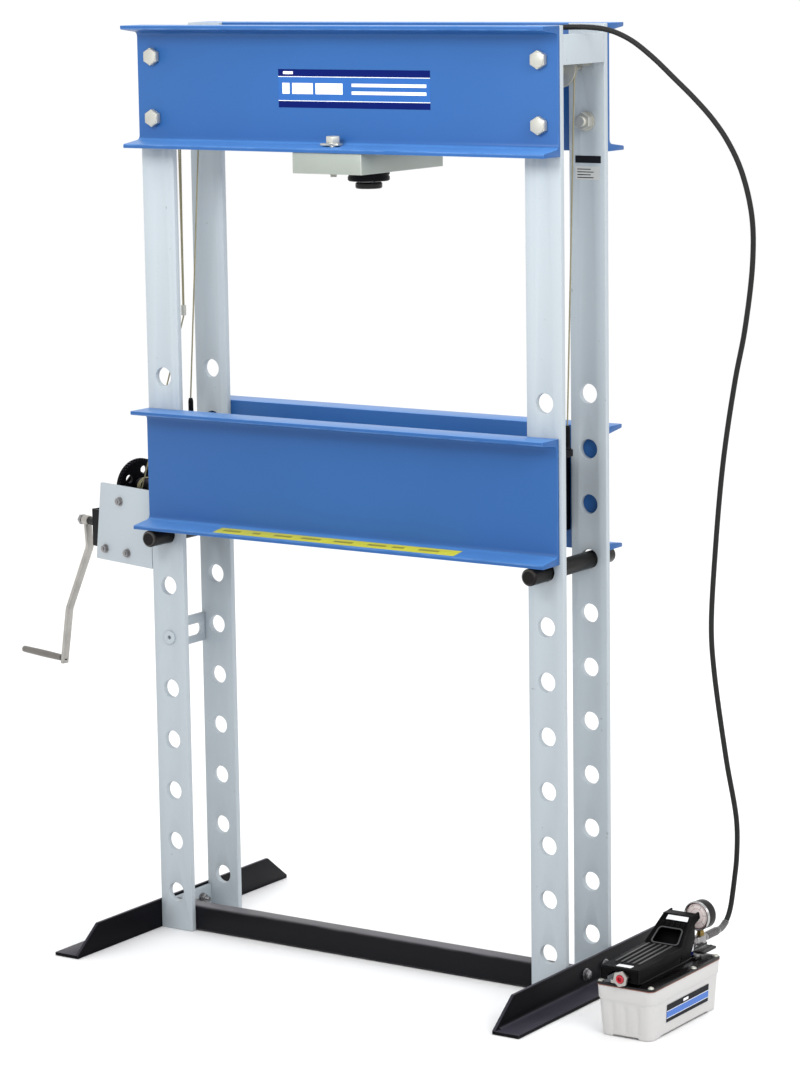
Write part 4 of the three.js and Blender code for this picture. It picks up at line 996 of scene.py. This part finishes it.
def make_treadle():
    def tapered(v):
        rise = min(1, max(0, v.z - 135) / 40)
        return (-7 + (v.x + 7) * (1 - 0.26 * rise), v.y, v.z)

    side = filleted([(-128, 104), (-128, 129), (27, 133), (79, 175), (110, 178), (108, 166), (85, 159), (76, 137),
                     (55, 105), (27, 104)], [1.5, 4, 10, 6, 3, 3, 4, 6, 3, 3], 4)
    bore = circle(22, 110, 4.4, 24)
    walls = [slab("x", side, low, low + 4, [bore], bevel=1.2, steps=3) for low in (-46, 28)]

    def sheared(v):
        return (v.x, v.y, v.z + (v.y + 128) * 4 / 155)

    deck = block((-45.5, 31.5), (-127.5, 30), (125, 129), 1.0).warped(sheared)
    ribs = Shape()
    for i in range(5):
        x = -32 + 11.5 * i
        ribs.add(block((x - 2, x + 2), (-98, 22), (128.4, 130.8), 0.9, corner=1.5))
    ribs.warped(sheared).warped(tapered)
    pips = [block((x - 3.4, x + 3.4), (41.5, 50), (-0.5, 2.2), 1.0, corner=3) for x in (-33, -20, -7, 6, 19)]
    run = math.hypot(52, 42)
    lean = Matrix.Translation((0, 27, 133)) @ Matrix.Rotation(math.atan2(42, 52), 4, "X")
    window = filleted(rectangle(-32, 20, 3, 36), 6, 5)
    slope = slab("z", filleted(rectangle(-45.5, 31.5, -1, run + 1), 1.5, 3), -4, 0, [window], bevel=0.9)
    rails = [block((x, x + 3), (2, run - 2), (-1, 1.2), 0.8) for x in (-44.5, 27.5)]
    # The window rim goes with the ribs, in the lighter rib material: a painted highlight round the window.
    frame_rim = slab("z", filleted(rectangle(-35, 23, 0.5, 38.5), 8, 5), -0.5, 1.0, [window], bevel=0.6)
    recess = slab("z", filleted(rectangle(-42, 28, -4, 44), 5, 5), -16, -13, bevel=0.8)
    ribs.add(frame_rim.moved(lean).warped(tapered))
    upper = together(slope, *rails, *pips, recess).moved(lean)
    top = block((-45.5, 31.5), (77, 100), (172.2, 176.6), 1.2)
    front = slab("y", filleted([(-45, 104), (-34, 104), (-34, 112), (-20, 122.5), (8, 122.5), (15, 114), (15, 104),
                                (31, 104), (31, 127), (-45, 127)], [1, 0, 3, 6, 6, 3, 0, 1, 2, 2], 3), -128, -124,
                 bevel=0.8)
    shell = together(*walls, deck, upper, top, front).warped(tapered)
    piece("pump_treadle", layered(shell, ribs).moved(PUMP), ["treadle", "rib_highlight"], "treadle")
    stickers = together(
        block((-19, 11), (-121, -108), (129.2, 129.7), 0.2, corner=1),
        block((-30, 26), (54.5, 66), (0, 0.5), 0.2, corner=1).moved(lean),
    ).warped(tapered)
    piece("treadle_stickers", stickers.moved(PUMP), "white", "treadle", slot="gauge_white")
    lever = together(
        slab("z", rounded(11, 25, 4, 1), 106, 110, bevel=1.0),
        block((-3, 3), (-24, 24), (109, 111), 0.8, corner=2),
    ).at(31, 113)
    piece("release_lever", lever.moved(PUMP), "cover", "release_lever")


def make_gauge():
    at = (OUTLET_X, OUTLET_Z)
    line = together(
        rod("y", 95.3, 197, at, 6.4, 40, 0.8),
        hexagon("y", 95.3, 107, at, 16.2, 1.0),
        rod("y", 140, 148, at, 7.6, 32, 1.2),
        *(rod("y", y, y + 2, at, 7.7, 32, 0.7) for y in range(150, 190, 4)),
    )
    line.add(block((4.6, 21.4), (107.2, 138.8), (112.6, 129.4), 3.2, corner=4))
    tee = together(
        lathe("z", [(0, 128), (7.5, 128), (7.5, 131), (5.4, 132), (5.4, 138.4), (0, 138.4)], (13, 129, 0), 32, 0.4),
        hexagon("z", 131.5, 136, (13, 129), 12.6, 0.8),
    )
    # A dark core under the ribbed rings: painted shade in the grooves between the rings.
    painted_groove_shade = rod("y", 149, 191, at, 6.9, 32, 0.5)
    outlet = layered(line, tee, painted_groove_shade)
    piece("hydraulic_outlet", outlet.moved(PUMP), ["steel", "brass", "dark"])

    place = PUMP @ Matrix.Translation((OUTLET_X, 129, 166)) @ Matrix.Rotation(math.radians(-7), 4, "Z")
    case = lathe("y", [(0, -7.6), (26.4, -7.6), (26.4, 11), (24, 14), (0, 14)], segments=72, soft=0.6)
    bezel = lathe("y", [(23.6, -11), (23.9, -13), (24.8, -14), (26.2, -13.9), (27, -13), (27, -11), (26.5, -10.4),
                        (27, -9.8), (27, -8), (23.6, -8), (23.6, -11)], segments=72, soft=0.2)
    dial = rod("y", -11, -8.6, (0, 0), 23.8, 72, 0.2)
    marks = Shape()
    for i in range(51):
        angle = math.radians(225 - 270 * i / 50)
        long = i % 10 == 0
        mark = slab("y", rectangle(16.8 if long else 19.2, 21.6, -0.32 if long else -0.14, 0.32 if long else 0.14),
                    -11.14, -10.9, bevel=0)
        marks.add(mark.moved(Matrix.Rotation(-angle, 4, "Y")))
    marks.add(lathe("y", [(22.9, -11.8), (23.8, -12.4), (23.8, -10.8), (22.9, -10.8), (22.9, -11.8)], segments=72))
    rings = Shape()
    for radius in (22.1, 13.4):
        rings.add(lathe("y", [(radius, -11.1), (radius + 0.35, -11.1), (radius + 0.35, -10.9), (radius, -10.9),
                              (radius, -11.1)], segments=72))
    gauge = layered(case, bezel, dial, marks, rings)
    piece("gauge_case", gauge.moved(place), ["dark", "chrome", "dial", "ink", "red"])
    for i in range(6):
        angle = math.radians(225 - 54 * i)
        numeral(f"gauge_number_{i}", str(i), 3.6, place @ Matrix.Translation((13.6 * math.cos(angle) * 1.02, -11.15,
                                                                             13.6 * math.sin(angle) * 1.02)))
    needle = together(
        rod("y", -12.6, -11.3, (0, 0), 2.6, 28, 0.4),
        slab("y", [(0.5, 20), (1.2, -1), (1.6, -6), (-1.6, -6), (-1.2, -1), (-0.5, 20)], -12.3, -11.7, bevel=0.1),
    )
    turn = Matrix.Rotation(math.radians(-135), 4, "Y")
    piece("gauge_needle", needle.moved(place @ turn), "ink", "gauge_needle")


def numeral(name, text, size, place):
    """A printed number on the dial, facing -y."""
    curve = bpy.data.curves.new(name, "FONT")
    curve.body = text
    curve.size = size
    curve.align_x = curve.align_y = "CENTER"
    curve.resolution_u = 3
    drawn = bpy.data.objects.new(name, curve)
    bpy.context.collection.objects.link(drawn)
    bpy.context.view_layer.update()
    flat = drawn.evaluated_get(bpy.context.evaluated_depsgraph_get()).to_mesh()
    shape = Shape([v.co.copy() for v in flat.vertices], [tuple(p.vertices) for p in flat.polygons])
    bpy.data.objects.remove(drawn)
    upright = Matrix.Rotation(math.pi / 2, 4, "X")
    piece(name, shape.moved(place @ upright), "ink", slot="dark_steel")


# ------------------------------------------------------------------ hose
HOSE = [
    (92.3, 0, FITTING_Z), (96, 0, FITTING_Z), (140, -4, 1666), (205, -18, 1690), (290, -26, 1726), (380, -18, 1748),
    (434, -10, 1754), (507, 1, 1750), (553, 4, 1733), (595, 7, 1704), (640, 10, 1665), (681, 13, 1628),
    (714, 15, 1594), (741, 18, 1557), (765, 23, 1506), (782, 29, 1430), (781, 35, 1351), (761, 44, 1228),
    (739, 50, 1138), (710, 60, 991), (688, 71, 826), (675, 80, 679), (677, 86, 604), (696, 98, 437),
    (713, 106, 323), (708, 116, 252), (701, 121.5, 212), (695.6, 123.8, 180), (692.4, 123.1, 157.2),
    (690.9, 117.9, 142), (690.2, 107.4, 129.9), (690, 91.7, 122.2), (690, 81.2, 121), (690, 80.3, 121),
]


def make_hose():
    line, length = smooth_path(HOSE, 5)
    hose = piece("hose", tube(line, 4.75, 24), "hose")

    sleeve = [line[i] for i in range(0, 11)]
    radii = [7.6, 7.6, 7.4, 7.1, 6.8, 6.5, 6.2, 5.9, 5.6, 5.3, 5.0]
    relief = piece("hose_relief", tube(sleeve, 7.6, 28, radii=radii), "dark", slot="dark_steel")
    start = len(line) - 1
    guard = []
    frames = [line[start - i] for i in range(7)]
    side = Vector((1, 0, 0))
    walked = 0.0
    for i in range(len(frames) - 1):
        a, b = frames[i], frames[i + 1]
        ahead = (b - a).normalized()
        side = (side - ahead * side.dot(ahead)).normalized()
        other = ahead.cross(side)
        for k in range(24):
            t = k / 24
            angle = 2 * math.pi * (walked + t * (b - a).length) / 3.2
            guard.append(a.lerp(b, t) + (side * math.cos(angle) + other * math.sin(angle)) * 5.5)
        walked += (b - a).length
    spring = piece("hose_spring_guard", tube(guard, 0.75, 8), "steel", slot="zinc")
    [tuple(p * MM) for p in line]

    swivel = hexagon("x", 50.3, 66, (0, FITTING_Z), 20.8, 1.2)
    body = lathe("x", [(0, 65), (8, 65), (8, 72), (7.2, 73), (7.2, 76), (8, 77), (8, 92), (0, 92)],
                 (0, 0, FITTING_Z), 40, 0.4)
    piece("cylinder_fitting", together(swivel, body), "zinc")


# ------------------------------------------------------------------ labels
def make_labels():
    front, back = -89.45, -89.0
    bands = [
        ("navy", 0, [(-137, 196, 1666, 1679), (-137, 196, 1609, 1621)]),
        ("white", 0.15, [(-137, 196, 1664.8, 1666), (-137, 196, 1621, 1622.2), (-128, -112, 1634, 1654),
                         (-106, -60, 1634, 1654), (-54, 6, 1634, 1654), (26, 188, 1648, 1654),
                         (26, 188, 1634, 1640), (-126, -104, 1670, 1675)]),
        ("panel", 0, [(-137, 196, 1622.2, 1664.8)]),
    ]
    label = Shape()
    for slot, (_, proud, areas) in enumerate(bands):
        for area in areas:
            label.add(patch("y", area, front - proud, back), slot)
    piece("crosshead_label", label, [b[0] for b in bands], slot="blue_paint")
    rows = [patch("y", (406, 440 - 6 * (i % 2), z, z + 1.6), 70.25, 70.6) for i, z in enumerate(range(1483, 1502, 5))]
    plates = layered(patch("y", (402, 455, 1510, 1523), 70.4, 70.9), patch("y", (402, 452, 1480, 1504), 70.4, 70.9),
                     together(*rows))
    piece("upright_labels", plates, ["ink", "tag", "treadle"], slot="gauge_white")

    def on_flange(v):
        return (v.x, v.y, v.z + 14 - (-v.y - 89.7) * 6.5 / 51)

    strip = block((-278, 263), (-135, -104), (BOLSTER_Z - 0.2, BOLSTER_Z + 0.35), 0.1)
    bars = [block((x, x + w), (-124, -115), (BOLSTER_Z - 0.2, BOLSTER_Z + 0.5), 0.1)
            for x, w in ((-264, 40), (-196, 18), (-146, 40), (-84, 44), (-10, 42), (66, 40), (120, 26), (178, 44))]
    tape = layered(strip, together(*bars)).warped(on_flange)
    piece("bolster_strip", tape, ["yellow", "mark"], "bolster", slot="gauge_white")


PAINT = make_materials()
make_camera()
make_studio()
make_hose()
make_frame()
make_base()
make_ram()
make_bolster()
make_winch()
make_lift()
make_tank()
make_pump_body()
make_treadle()
make_gauge()
make_labels()
